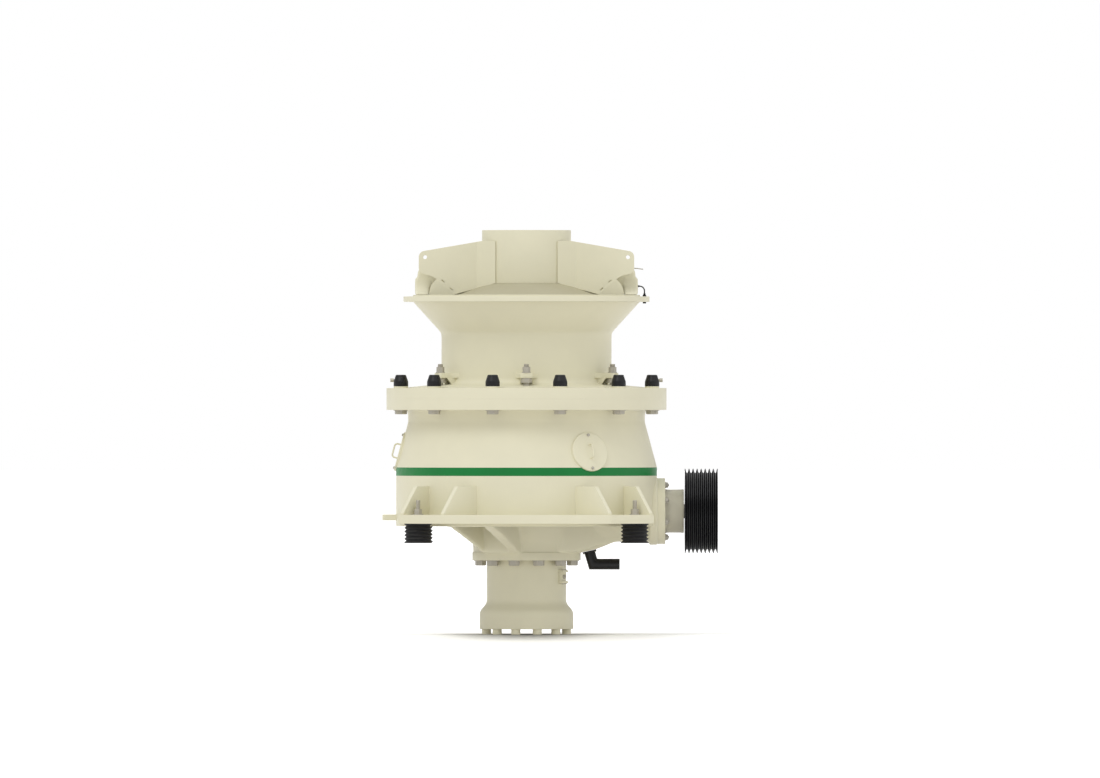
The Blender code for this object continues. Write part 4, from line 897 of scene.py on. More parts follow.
def socket_head(radius, height, socket):
    """Cylinder screw head with a hexagon socket in its outer face."""
    body = soft_lathe([(0.0, -0.004), (radius, -0.004), (radius, height, 0.003), (0.0, height)], ROUND_SMALL)
    key = moved(hex_form(radius * 0.95, socket * 2.0), (0.0, 0.0, height - socket))
    return carved(body, key)


class CRUSHER_OT_hub(Operator):
    """Cast the bottom shell's hub, its two arms and the pinion tunnel as one form"""
    bl_idname = "crusher.hub"
    bl_label = "Hub and Arms"

    grain: FloatProperty(
        name="Casting grain", description="Cell size in which the casting's forms are fused",
        default=0.0080, unit="LENGTH")
    arm_half: FloatProperty(
        name="Arm half width", description="Half the width over an arm's two webs at the hub",
        default=0.131, unit="LENGTH")
    arm_spread: FloatProperty(
        name="Arm spread", description="Half width that an arm gains per metre outward",
        default=0.0604)
    inner_web: FloatProperty(
        name="Inner web", description="Thickness of an arm's web toward the pinion side",
        default=0.068, unit="LENGTH")
    outer_web: FloatProperty(
        name="Outer web", description="Thickness of an arm's other web",
        default=0.028, unit="LENGTH")

    def execute(self, context):
        cream = material_of(context, "Cream paint")
        zinc = material_of(context, "Bolt zinc")
        sizes = context.scene.crusher_sizes
        low, top = HUB_LOW.z, HUB_FLANGE_TOP
        bolt_circle, bolt_height = 0.299, 0.033
        flange = [(0.0, low), (HUB_FLANGE_RADIUS, low, 0.002), (HUB_FLANGE_RADIUS, top, 0.004),
                  (HUB_HOLLOW, top), (0.0, top)]
        piece("hub_flange", soft_lathe(flange, ROUND_MEDIUM), cream, ["shell_hub"])

        neck, belly, mouth = HUB_NECK_RADIUS - 0.002, 0.418, 0.298
        brim = HUB_HIGH.z - 0.004
        bowl = [(0.0, top - 0.020), (neck, top - 0.020), (neck, top + 0.050, 0.03),
                (belly, top + 0.263, 0.06), (belly, top + 0.443, 0.05), (mouth, brim), (0.0, brim)]
        forms = [soft_lathe(bowl, ROUND_MEDIUM)]
        forms += [turned(self.arm(side), azimuth) for side, azimuth in zip((1.0, -1.0), ARM_AZIMUTHS)]
        forms += self.tunnel()
        body = cast(joined(forms), self.grain, 9)
        piece("hub_casting", body, cream,
              ["shell_arm_front", "shell_arm_rear", "pinion_tunnel"], sharp=50.0)

        step = 360.0 / sizes.screw_count
        head = bolt_head(sizes.hub_bolt, bolt_height)
        places = [place @ flipped() for place in ring_places(sizes.screw_count, bolt_circle, low, step / 2.0)]
        piece("hub_flange_bolts", repeated(head, places), zinc)
        return {"FINISHED"}

    def arm(self, inner):
        """An inverted channel: roof above, a web on each side, its feet swept onto the hub."""
        bore = SHELL_RADIUS - SHELL_WALL
        low_hub = HUB_FLANGE_TOP
        low_shell = SHELL_BOTTOM - 0.002
        top = SHELL_BOTTOM + 0.328
        end, toe = bore + 0.010, bore - 0.045
        roof = top - 0.060
        side = [(HUB_HOLLOW, low_hub - 0.006), (0.346, low_hub - 0.005), (0.366, low_hub + 0.001),
                (0.390, low_hub + 0.014), (0.430, low_hub + 0.034), (toe, low_shell - 0.001),
                (end, low_shell), (end, top), (HUB_HOLLOW, top)]
        recess = [(0.352, low_hub - 0.1), (toe, low_hub - 0.1), (toe, roof), (0.400, roof)]
        whole = self.spread_out(side, 0.0, 0.0)
        walls = (self.inner_web, self.outer_web) if inner > 0.0 else (self.outer_web, self.inner_web)
        return carved(whole, self.spread_out(recess, *walls))

    def spread_out(self, outline, wall_left, wall_right):
        """Extrude an arm's side outline to both sides, wider toward the shell."""
        form = prism(outline, -1.0, 1.0, "Y")
        for vert in form.verts:
            half = self.arm_half + self.arm_spread * (vert.co.x - HUB_FLANGE_RADIUS)
            vert.co.y = half - wall_left if vert.co.y > 0.0 else wall_right - half
        return form

    def tunnel(self):
        """The round tunnel with its web, whose underside sweeps up from the hub."""
        radius = (TUNNEL_HIGH.y - TUNNEL_LOW.y) / 2.0 - 0.001
        end = TUNNEL_HIGH.x - 0.002
        outline = [(0.0, HUB_HOLLOW), (radius, HUB_HOLLOW), (radius, end), (0.0, end)]
        pipe = lathe(outline, 64, "X", (0.0, 0.0, PINION_LEVEL))
        low = PINION_LEVEL - radius
        root = HUB_FLANGE_TOP - 0.004
        web = [(HUB_HOLLOW, root), (0.341, root + 0.0005), (0.437, root + 0.022), (0.480, root + 0.037),
               (0.515, root + 0.052), (0.550, low - 0.002), (0.600, low + 0.006), (0.640, PINION_LEVEL),
               (HUB_HOLLOW, PINION_LEVEL)]
        half = 0.098
        return [pipe, prism(web, -half, half, "Y"), self.tunnel_fillet(root + 0.006, half)]

    def tunnel_fillet(self, low, half):
        """Hollow corners, seen in plan, that lead the bowl's sides into the tunnel's web."""
        lean, bowl_radius, web_end, steps = math.radians(52.0), 0.346, 0.560, 8
        start = Vector((bowl_radius * math.cos(lean), bowl_radius * math.sin(lean)))
        reach = (start.y - half) / math.cos(lean)
        corner = Vector((start.x + reach * math.sin(lean), half))
        end = Vector((web_end, half))
        curve = []
        for step in range(steps + 1):
            share = step / steps
            curve.append(start * (1 - share) ** 2 + corner * (2 * share * (1 - share)) + end * share ** 2)
        outline = [(0.0, -start.y)] + [(spot.x, -spot.y) for spot in curve]
        outline += [(spot.x, spot.y) for spot in reversed(curve)] + [(0.0, start.y)]
        form = prism(outline, low, PINION_LEVEL)
        for vert in form.verts:
            if vert.co.z > low + 0.1:
                vert.co.x *= 1.12
                vert.co.y *= 1.16
            else:
                vert.co.z += max(0.0, vert.co.x - 0.345) * 0.36
        return form


class CRUSHER_OT_shell(Operator):
    """Turn the bottom shell with its main flange and boss, and fit the flange bolts"""
    bl_idname = "crusher.shell"
    bl_label = "Bottom Shell"

    def execute(self, context):
        banded = material_of(context, "Banded paint")
        cream = material_of(context, "Cream paint")
        zinc = material_of(context, "Bolt zinc")
        sizes = context.scene.crusher_sizes
        bore = SHELL_RADIUS - SHELL_WALL
        neck = SHELL_NECK_RADIUS
        under = FLANGE_JOINT - FLANGE_THICKNESS
        profile = [(bore, SHELL_BOTTOM), (SHELL_RADIUS, SHELL_BOTTOM), (SHELL_RADIUS, SHELL_SHOULDER, 0.008),
                   (neck, SHELL_NECK_START, 0.012), (neck + 0.001, NECK_TOP - 0.008, 0.012),
                   (neck + 0.008, under, 0.006), (FLANGE_RADIUS, under, 0.003),
                   (FLANGE_RADIUS, FLANGE_JOINT, 0.0), (neck - SHELL_WALL, FLANGE_JOINT),
                   (neck - SHELL_WALL, NECK_TOP, 0.01), (bore, SHELL_SHOULDER, 0.02)]
        piece("shell_casting", soft_lathe(profile, ROUND_FINE), banded,
              ["bottom_shell", "shell_cone", "shell_flange"])

        flange_radius = (PINION_HIGH.z - PINION_LOW.z) / 2.0
        end = PINION_LOW.x - SEAT_GAP
        boss = [(0.150, end - 0.110), (flange_radius - 0.010, end - 0.060, 0.01),
                (flange_radius + 0.005, end - 0.048, 0.004), (flange_radius + 0.005, end - 0.008, 0.004),
                (flange_radius, end, 0.0), (0.150, end)]
        piece("pinion_boss", soft_lathe(boss, ROUND_MEDIUM, along="X", centre=(0.0, 0.0, PINION_LEVEL)),
              cream)

        head = bolt_head(sizes.flange_bolt, 0.027)
        places = [place @ flipped() for place in ring_places(CAP_COUNT, CAP_CIRCLE, under, CAP_FIRST)]
        piece("main_flange_bolts", repeated(head, places), zinc)
        return {"FINISHED"}


class CRUSHER_OT_hatches(Operator):
    """Fit the three inspection hatches with their handles and bolts"""
    bl_idname = "crusher.hatches"
    bl_label = "Inspection Hatches"

    level: FloatProperty(
        name="Hatch level", description="Height of the hatch centres",
        default=1.117, unit="LENGTH")
    radius: FloatProperty(
        name="Hatch radius", description="Radius of the round cover",
        default=0.125, unit="LENGTH")

    def execute(self, context):
        cream = material_of(context, "Cream paint")
        zinc = material_of(context, "Bolt zinc")
        out = SHELL_RADIUS - (self.level - SHELL_SHOULDER) * math.tan(SHELL_TAPER)
        azimuths = {"front_right": -60.0, "left": 180.0, "rear_right": 60.0}
        proud, sunk, bolt_rise = 0.0085, 0.055, 0.107
        handle_radius = 0.0053
        for name, azimuth in azimuths.items():
            turn = Matrix.Rotation(math.radians(azimuth), 4, "Z")
            place = turn @ Matrix.Translation((out, 0.0, self.level)) @ Matrix.Rotation(-SHELL_TAPER, 4, "Y")
            cover = [(0.0, -sunk), (self.radius, -sunk), (self.radius, proud - 0.0015, 0.0025),
                     (self.radius - 0.010, proud, 0.004), (0.0, proud)]
            disc = placed(soft_lathe(cover, 64, along="X"), place)
            handle = placed(tube(self.handle(), handle_radius, 16), place)
            node = "inspection_hatch_" + name
            piece("hatch_" + name, joined([disc, handle]), cream, [node])
            bolts = []
            for rise in (-bolt_rise, bolt_rise):
                spot = place @ Matrix.Translation((proud, 0.0, rise)) @ pointing_x()
                bolts.append(placed(bolt_head(0.017, 0.009), spot))
            piece("hatch_bolts_" + name, joined(bolts), zinc)
        return {"FINISHED"}

    def handle(self):
        """Route of the bow handle, from one foot to the other."""
        half, reach, corner = 0.044, 0.044, 0.018
        route = [(0.006, 0.0, -half)]
        route += [(u, 0.0, v) for u, v in arc((reach - corner, -half + corner), corner, -90.0, 0.0, 8)]
        route += [(u, 0.0, v) for u, v in arc((reach - corner, half - corner), corner, 0.0, 90.0, 8)]
        route += [(0.006, 0.0, half)]
        return route


class CRUSHER_OT_shelves(Operator):
    """Build the mounting shelves with gussets, the rubber mounts and their anchors"""
    bl_idname = "crusher.shelves"
    bl_label = "Shelves and Mounts"

    gusset_top: FloatProperty(
        name="Gusset height", description="Height of a gusset above the shelf",
        default=0.1785, unit="LENGTH")
    gusset_toe: FloatProperty(
        name="Gusset toe", description="Height of a gusset's upright outer edge",
        default=0.010, unit="LENGTH")

    def execute(self, context):
        cream = material_of(context, "Cream paint")
        for name, side in (("front", -1.0), ("rear", 1.0)):
            self.shelf(name, side, cream)
        half, corner = (LUG_HIGH.y - LUG_LOW.y) / 2.0, 0.022
        root, tip = LUG_HIGH.x + 0.02, LUG_LOW.x
        outline = softened([(root, -half), (tip, -half, corner), (tip, half, corner), (root, half)])
        lug = prism(outline, LUG_LOW.z, LUG_HIGH.z, soft=0.003)
        piece("side_bracket", lug, cream, ["side_lug"])
        self.mounts(context)
        return {"FINISHED"}

    def shelf(self, name, side, cream):
        """A plate cut round the shell, its far corners cut off, with its four gussets."""
        half, deep = SHELF_HIGH.x, -SHELF_LOW.y
        chamfer, corner, inner, seat = 0.271, 0.012, 0.152, SHELL_RADIUS - 0.010
        start = math.degrees(math.asin(inner / seat))
        wall = arc((0.0, 0.0), seat, start, 180.0 - start, 48)
        outer = softened([(-half, deep - chamfer, corner), (-half + chamfer, deep, corner),
                          (half - chamfer, deep, corner), (half, deep - chamfer, corner)], closed=False)
        boss_radius = 0.2086
        reach = math.sqrt(boss_radius ** 2 - (PINION_LEVEL - SHELF_LEVEL) ** 2)
        outline = wall + [(-half, inner)] + outer + [(half, reach)]
        outline = [(u, v * side) for u, v in outline]
        plate = prism(outline, SHELF_LEVEL, SHELF_TOP, soft=0.009, segments=3)
        ribs = []
        for hand in (-1.0, 1.0):
            for azimuth, base, top in ((41.0, 0.229, 0.106), (66.75, 0.286, 0.163)):
                ribs.append(self.gusset(azimuth, base, top, hand, side))
        piece("shelf_" + name, joined([plate] + ribs), cream, ["mounting_shelf_" + name])

    def gusset(self, azimuth, base, top, hand, side):
        """A slanted plate that stands on the shelf along the diagonal."""
        width = SHELL_RADIUS * math.cos(math.radians(azimuth)) * hand
        depth = SHELL_RADIUS * math.sin(math.radians(azimuth)) * side
        back, half = -0.040, 0.0145
        low, high = SHELF_TOP - 0.004, SHELF_TOP + self.gusset_top
        outline = [(back, low), (base, low), (base, SHELF_TOP + self.gusset_toe), (top, high), (back, high)]
        plate = prism(softened(outline, 0.003), -half, half, "Y", soft=0.004)
        heading = math.degrees(math.atan2(side, hand))
        return moved(turned(plate, heading), (width, depth, 0.0))

    def mounts(self, context):
        """The four ridged rubber mounts, and the studs with nut and washer on the shelves above them."""
        rubber = material_of(context, "Mount rubber")
        zinc = material_of(context, "Bolt zinc")
        sizes = context.scene.crusher_sizes
        radius = (MOUNT_HIGH.x - MOUNT_LOW.x) / 2.0
        low, top = MOUNT_LOW.z, MOUNT_HIGH.z
        ridges, lip, valley = 6, 0.004, radius - 0.0125
        pitch = (top - low - 2.0 * lip) / (ridges - 1)
        profile = [(0.0, low), (radius - 0.001, low)]
        for index in range(ridges):
            level = low + lip + index * pitch
            profile.append((radius, level))
            if index < ridges - 1:
                profile += [(valley, level + pitch * 0.42), (valley, level + pitch * 0.58)]
        profile += [(radius - 0.001, top), (0.0, top)]
        body = softened(profile, 0.0012, hold_axis=True)
        stud, washer_height = sizes.anchor_stud / 2.0, 0.006
        nut = moved(hex_form(0.052, 0.030), (0.0, 0.0, washer_height))
        anchor = joined([washer(0.0335, washer_height), nut, threaded(stud, 0.0, 0.092, 0.0035)])
        tops = []
        for side, row in ((-1.0, "front"), (1.0, "rear")):
            for hand, column in ((-1.0, "left"), (1.0, "right")):
                place = (hand * MOUNT_PLACE, side * MOUNT_PLACE, 0.0)
                name = row + "_" + column
                mount = moved(lathe(body, 64), place)
                piece("mount_" + name, mount, rubber, ["rubber_mount_" + name])
                spot = Matrix.Translation((place[0], place[1], SHELF_TOP))
                tops.append(spot @ Matrix.Rotation(math.radians(8.0 + 17.0 * len(tops)), 4, "Z"))
        piece("anchor_studs", repeated(anchor, tops), zinc)


class CRUSHER_OT_drive(Operator):
    """Build the pinion flange, bearing tube, pinion shaft and the grooved pulley"""
    bl_idname = "crusher.drive"
    bl_label = "Drive Side"

    grooves: IntProperty(
        name="Grooves", description="Belt grooves of the pulley",
        default=8, min=1, max=12)
    groove_depth: FloatProperty(
        name="Groove depth", description="Depth of a belt groove",
        default=0.0255, unit="LENGTH")
    ridge_tip: FloatProperty(
        name="Ridge tip", description="Flat width of a ridge",
        default=0.0046, unit="LENGTH")
    groove_floor: FloatProperty(
        name="Groove floor", description="Flat width of a groove's floor",
        default=0.0052, unit="LENGTH")

    def execute(self, context):
        cream = material_of(context, "Cream paint")
        # The bearing tube takes the darker tube paint, a painted shade.
        tube_shade_paint = material_of(context, "Tube paint")
        zinc = material_of(context, "Bolt zinc")
        sizes = context.scene.crusher_sizes
        centre = (0.0, 0.0, PINION_LEVEL)
        radius, bore = PINION_HIGH.z - PINION_LEVEL, 0.060
        back, face = PINION_LOW.x, PINION_HIGH.x
        profile = [(bore, back), (radius, back, 0.0012), (radius, face, 0.004), (bore, face)]
        flange = soft_lathe(profile, ROUND_MEDIUM, along="X", centre=centre)
        piece("pinion_end_flange", flange, cream, ["pinion_flange"])
        bolt_count, bolt_circle = 8, 0.178
        head = bolt_head(sizes.pinion_bolt, 0.017, grip=0.006)
        places = []
        for index in range(bolt_count):
            spin = Matrix.Rotation(math.radians((index + 0.5) * 360.0 / bolt_count), 4, "X")
            spot = Matrix.Translation((face, 0.0, bolt_circle))
            places.append(Matrix.Translation(centre) @ spin @ spot @ pointing_x())
        piece("pinion_flange_bolts", repeated(head, places), zinc)

        start, end = TUBE_LOW.x, TUBE_HIGH.x
        bore, collar = 0.0462, TUBE_HIGH.y - 0.0005
        middle, lip = TUBE_HIGH.y - 0.0025, TUBE_HIGH.y - 0.0015
        wall = [(bore, start), (collar, start, 0.0), (collar, start + 0.007), (middle, start + 0.010),
                (middle, end - 0.022), (lip, end - 0.018), (lip, end, 0.003), (bore, end)]
        sleeve = soft_lathe(wall, ROUND_MEDIUM, cut=0.0015, along="X", centre=centre)
        piece("bearing_sleeve", sleeve, tube_shade_paint, ["bearing_tube"])
        self.rotor(context, centre)
        return {"FINISHED"}

    def rotor(self, context, centre):
        """Pulley, bush, key and shaft, which turn together."""
        iron = material_of(context, "Pulley iron")
        steel = material_of(context, "Turned steel")
        zinc = material_of(context, "Bolt zinc")
        radius = PULLEY_HIGH.y
        inner, outer = PULLEY_LOW.x, PULLEY_HIGH.x
        tip = self.ridge_tip
        pitch = (outer - inner - tip) / self.grooves
        flank = (pitch - tip - self.groove_floor) / 2.0
        root = radius - self.groove_depth
        rim = root - 0.029
        middle = (inner + outer) / 2.0
        tip_edge, root_edge = 0.0006, 0.001
        profile = [(rim, inner, 0.002), (radius, inner, tip_edge)]
        for index in range(self.grooves):
            start = inner + tip + index * pitch
            floor = start + flank
            profile += [(radius, start, tip_edge), (root, floor, root_edge),
                        (root, floor + self.groove_floor, root_edge), (radius, start + pitch - tip, tip_edge)]
        web_rim, web_hub, half_web, fillet = rim - 0.006, 0.094, 0.018, 0.010
        hub, hub_face, hub_back = 0.088, outer - 0.022, inner + 0.010
        bush_face, bush_back = 0.0600, 0.0560
        profile += [(radius, outer, tip_edge), (rim, outer, 0.002),
                    (web_rim, middle + half_web, fillet), (web_hub, middle + half_web, fillet),
                    (hub, hub_face, 0.003), (bush_face, hub_face, 0.001),
                    (bush_back, hub_back, 0.001), (hub, hub_back, 0.003),
                    (web_hub, middle - half_web, fillet), (web_rim, middle - half_web, fillet)]
        wheel = soft_lathe(profile, ROUND_MEDIUM, along="X", centre=centre)
        piece("grooved_pulley", wheel, iron, ["drive_pulley"], body="pulley", sharp=24.0)

        bore, back, face = 0.0456, inner + 0.012, outer - 0.0215
        profile = [(bore, back), (bush_back, back), (bush_face, face, 0.001), (bore, face, 0.001)]
        bush = soft_lathe(profile, 64, along="X", centre=centre)
        piece("taper_bush", bush, iron, body="pulley")
        screws = []
        for azimuth in (60.0, 180.0, 300.0):
            spin = Matrix.Rotation(math.radians(azimuth), 4, "X")
            spot = Matrix.Translation((face - 0.001, 0.0, 0.0533))
            screws.append(Matrix.Translation(centre) @ spin @ spot @ pointing_x())
        piece("bush_screws", repeated(hex_form(0.011, 0.0035), screws), zinc, body="pulley")

        shaft_radius = SHAFT_HIGH.y - 0.0002
        end = SHAFT_HIGH.x
        profile = [(0.0, SHAFT_LOW.x), (shaft_radius, SHAFT_LOW.x), (shaft_radius, end, 0.003),
                   (0.008, end, 0.001), (0.0, end - 0.008)]
        shaft = soft_lathe(profile, 64, along="X", centre=centre)
        piece("shaft_bar", shaft, steel, ["pinion_shaft"], body="pulley")
        key = block((face - 0.030, -0.007, 0.034), (end - 0.0045, 0.007, 0.0488), 0.0008)
        piece("shaft_key", moved(key, centre), steel, body="pulley")


class CRUSHER_OT_top_shell(Operator):
    """Turn the top shell and rim, and fit lugs, hold-down studs, caps and side screws"""
    bl_idname = "crusher.top_shell"
    bl_label = "Top Shell"

    def execute(self, context):
        cream = material_of(context, "Cream paint")
        radius, wall = BARREL_RADIUS, BARREL_RADIUS - BARREL_WALL
        seam = TOP_FLANGE_HIGH.z
        bend = BARREL_HIGH.z
        flare_out, flare_in = FLARE_HIGH.x, FLARE_HIGH.x - 0.054
        high = FLARE_HIGH.z
        ledge = LINER_LOW.z - SEAT_GAP
        bore = 0.455
        profile = [(bore, TOP_FLANGE_LOW.z), (FLANGE_RADIUS, TOP_FLANGE_LOW.z, 0.0),
                   (FLANGE_RADIUS, FLANGE_TOP, 0.004), (CAP_CIRCLE - 0.054, FLANGE_TOP, 0.008),
                   (0.737, FLANGE_TOP + 0.006, 0.02), (0.630, FLANGE_TOP + 0.0155, 0.03),
                   (radius + 0.020, seam - 0.022, 0.018), (radius, seam + 0.004, 0.018),
                   (radius, bend + 0.006, 0.022), (flare_out - 0.0005, high), (flare_in, high),
                   (wall, bend + 0.010, 0.015), (wall, ledge), (bore, ledge)]
        piece("top_casting", soft_lathe(profile, ROUND_FINE), cream,
              ["top_flange", "top_shell", "top_flare"])

        step_radius, step_low = flare_out + 0.001, RIM_HIGH.z - 0.010
        out, low, high = RIM_HIGH.x, RIM_LOW.z, RIM_HIGH.z
        rim = [(flare_in, low), (out, low, 0.0025), (out, step_low, 0.0025), (step_radius, step_low, 0.002),
               (step_radius, high, 0.002), (flare_in, high, 0.003)]
        piece("feed_rim", soft_lathe(rim, ROUND_FINE), cream, ["rim_flange"])
        self.lugs(context, cream)
        self.caps(context, cream)
        self.side_screws(context, cream)
        return {"FINISHED"}

    def lugs(self, context, cream):
        """Six hold-down lugs flared into the barrel, each with its stud and nuts."""
        zinc = material_of(context, "Bolt zinc")
        low = FLANGE_TOP + LUG_LEVEL
        tip, half, root_half = 0.6485, 0.0425, 0.077
        root, waist = math.sqrt(BARREL_RADIUS ** 2 - root_half ** 2) - 0.006, BARREL_RADIUS + 0.024
        outline = [(root, -root_half), (waist, -half, 0.022), (tip, -half, 0.014), (tip, half, 0.014),
                   (waist, half, 0.022), (root, root_half)]
        plate = prism(softened(outline, 0.0, 4), low + 0.0005, low + LUG_THICKNESS - 0.0005, soft=0.003)
        rib = [(root + 0.003, low - 0.062), (BARREL_RADIUS + 0.016, low - 0.058, 0.02),
               (0.602, low + 0.004), (root + 0.003, low + 0.010)]
        webs = []
        for offset in (-0.037, 0.037):
            webs.append(prism(softened(rib, 0.0, 4), offset - 0.005, offset + 0.005, "Y", soft=0.002))
        lug = joined([plate] + webs)
        piece("hold_down_lugs", repeated(lug, ring_places(LUG_COUNT, 0.0, 0.0, -90.0)), cream)
        above, under = low + LUG_THICKNESS, low - 0.028
        base, stud = FLANGE_TOP + 0.0125, 0.0180
        shank = softened([(0.0, base), (stud, base), (stud, under), (0.0, under)], 0.001, hold_axis=True)
        parts = [moved(washer(0.0290, 0.005), (0.0, 0.0, above)),
                 moved(hex_form(0.050, 0.033), (0.0, 0.0, above + 0.005)),
                 threaded(0.0165, above, above + 0.056, 0.003),
                 moved(hex_form(0.072, 0.028), (0.0, 0.0, low - 0.029)),
                 lathe(shank, 32)]
        studs = repeated(joined(parts), ring_places(LUG_COUNT, STUD_CIRCLE, 0.0, -90.0))
        piece("hold_down_studs", studs, zinc)

    def caps(self, context, cream):
        """Black caps over the flange nuts, each on a low painted boss."""
        plastic = material_of(context, "Cap plastic")
        low, top = CAP_LOW.z, CAP_HIGH.z
        radius = 0.0455
        cap = [(0.0, low + 0.010), (radius - 0.0015, low + 0.010), (radius, low + 0.014, 0.002),
               (radius - 0.0005, low + 0.041, 0.006), (0.0345, top - 0.012, 0.008), (0.0315, top, 0.006),
               (0.0, top)]
        form = soft_lathe(cap, 40, cut=0.001)
        nodes = ["bolt_cap_%02d" % (index + 1) for index in range(CAP_COUNT)]
        places = ring_places(CAP_COUNT, CAP_CIRCLE, 0.0, CAP_FIRST)
        piece("bolt_caps", repeated(form, places), plastic, nodes)
        base, seat = FLANGE_TOP - 0.002, low + 0.0098
        boss = soft_lathe([(0.0, base), (radius, base), (radius, seat, 0.0015), (0.0, seat)], 40)
        piece("cap_bosses", repeated(boss, places), cream)

    def side_screws(self, context, cream):
        """A stop block with its set screw at each end of the shaft line."""
        zinc = material_of(context, "Bolt zinc")
        level = FLANGE_TOP + 0.049
        low, high, near, far, half = FLANGE_TOP - 0.002, level + 0.018, 0.770, 0.822, 0.022
        side = softened([(near, low, 0.0), (far, low, 0.0), (far, high, 0.008), (near, high, 0.020)])
        stop = prism(side, -half, half, "Y", soft=0.003)
        ends = [Matrix.Identity(4), Matrix.Rotation(math.pi, 4, "Z")]
        piece("stop_blocks", repeated(stop, ends), cream)
        head = moved(hex_form(0.0275, 0.021), (0.0, 0.0, 0.016))
        screw = placed(joined([threaded(0.008, 0.0, 0.018, 0.002), head]),
                       Matrix.Translation((far - 0.001, 0.0, level)) @ pointing_x())
        piece("stop_screws", repeated(screw, ends), zinc)


class CRUSHER_OT_chamber(Operator):
    """Turn the concave liner, the mantle and the main shaft seen through the feed"""
    bl_idname = "crusher.chamber"
    bl_label = "Crushing Chamber"

    def execute(self, context):
        manganese = material_of(context, "Manganese steel")
        steel = material_of(context, "Turned steel")
        outer = LINER_HIGH.x
        low, top = LINER_LOW.z, LINER_HIGH.z
        waist = low + (top - low) * 0.62
        liner = [(outer - 0.048, low, 0.004), (outer, low, 0.002), (outer, top, 0.002),
                 (outer - 0.030, top, 0.006), (outer - 0.075, waist, 0.030)]
        piece("concave", soft_lathe(liner, ROUND_FINE), manganese, ["concave_liner"])
        low, top = MANTLE_LOW.z, MANTLE_HIGH.z
        base, shaft_radius = MANTLE_HIGH.x, 0.0998
        bore = 0.1003
        cone = [(bore, low), (0.300, low, 0.004), (base - 0.005, low + 0.160, 0.006),
                (base, low + 0.200, 0.012), (base - 0.020, low + 0.300, 0.04),
                (base - 0.075, low + 0.500, 0.06), (0.170, top, 0.010), (bore, top)]
        piece("mantle_cone", soft_lathe(cone, ROUND_FINE), manganese, ["mantle"])
        low, top = MAIN_SHAFT_LOW.z, MAIN_SHAFT_HIGH.z
        shaft = [(0.0, low), (shaft_radius, low), (shaft_radius, top), (0.0, top)]
        piece("main_shaft_bar", soft_lathe(shaft, 64), steel, ["main_shaft"])
        return {"FINISHED"}


class CRUSHER_OT_spider(Operator):
    """Cast the two-arm spider and fit the hub guard and its conical skirt"""
    bl_idname = "crusher.spider"
    bl_label = "Spider and Guard"

    grain: FloatProperty(
        name="Casting grain", description="Cell size in which the spider's forms are fused",
        default=0.0075, unit="LENGTH")

    def execute(self, context):
        cream = material_of(context, "Cream paint")
        khaki = material_of(context, "Khaki paint")
        top = GUARD_HIGH.z - 0.0105
        step = RIM_HIGH.z
        low, boss, edge = SPIDER_LOW.z + 0.001, 0.239, 0.01
        profile = [(0.0, low), (boss, low, edge), (boss, top, edge), (0.0, top)]
        forms = [lathe(softened(profile, 0.0, hold_axis=True), 64)]
        for hand in (-1.0, 1.0):
            forms.append(self.arm(hand, step))
        body = cast(joined(forms), self.grain, 6)
        piece("spider_casting", body, cream, ["spider"], sharp=50.0)

        radius, plate, arch_half = GUARD_HIGH.x, 0.010, 0.1206
        low, high = GUARD_LOW.z, GUARD_HIGH.z
        guard = [(0.0, high - plate), (radius - plate, high - plate), (radius - plate, low),
                 (radius, low, 0.0015), (radius, high, 0.004), (0.0, high)]
        shell = soft_lathe(guard, ROUND_MEDIUM, cut=0.001)
        opening = block((-1.0, -arch_half, low - 0.1), (1.0, arch_half, step + 0.3116))
        piece("guard_drum", carved(shell, opening), cream, ["hub_guard"])

        outer, high, bore, plate = SKIRT_HIGH.x, SKIRT_HIGH.z, 0.2403, 0.012
        fall = high - 0.086
        skirt = [(bore, high - plate), (bore, high), (radius, high, 0.004), (outer, fall, 0.002),
                 (outer - 0.003, fall - 0.0115, 0.002), (radius - 0.004, high - plate, 0.004)]
        # The skirt takes the darker skirt paint, a painted shade under the guard.
        piece("skirt_cone", soft_lathe(skirt, ROUND_MEDIUM, cut=0.0), khaki, ["hub_skirt"])
        return {"FINISHED"}

    def arm(self, hand, step):
        """An arm that arches over the feed and ends in a saddle, flared toward the rim."""
        end = SPIDER_HIGH.x
        side = [(0.0, step + 0.309), (0.200, step + 0.309)]
        side += arc((0.636, step + 0.130), 0.050, 75.0, 5.0, 7)
        side += [(0.687, step + 0.050), (0.691, step + 0.022), (end - 0.001, step + 0.001),
                 (0.608, step + 0.001), (0.594, step + 0.040), (0.560, step + 0.074),
                 (0.500, step + 0.092), (0.0, step + 0.093)]
        half = 0.118
        flare = [(half, 0.105), (0.122, 0.070), (0.133, 0.042), (0.152, 0.020), (0.178, 0.007),
                 (0.188, 0.001)]
        foot = [(-width, step + rise) for width, rise in flare]
        foot += [(width, step + rise) for width, rise in reversed(flare)]
        saddle = placed(prism(foot, -end + 0.003, -0.610, "Y"), Matrix.Rotation(math.radians(90.0), 4, "Z"))
        web = prism(side, -half, half, "Y", soft=0.012)
        return turned(joined([web, saddle]), 0.0 if hand > 0.0 else 180.0)


FOLD_PLACE = 0.312
FLAP_START = Vector((0.5657, 2.2016))
FLAP_END = Vector((0.450, 2.1025))
FLAP_LEAN = 0.10


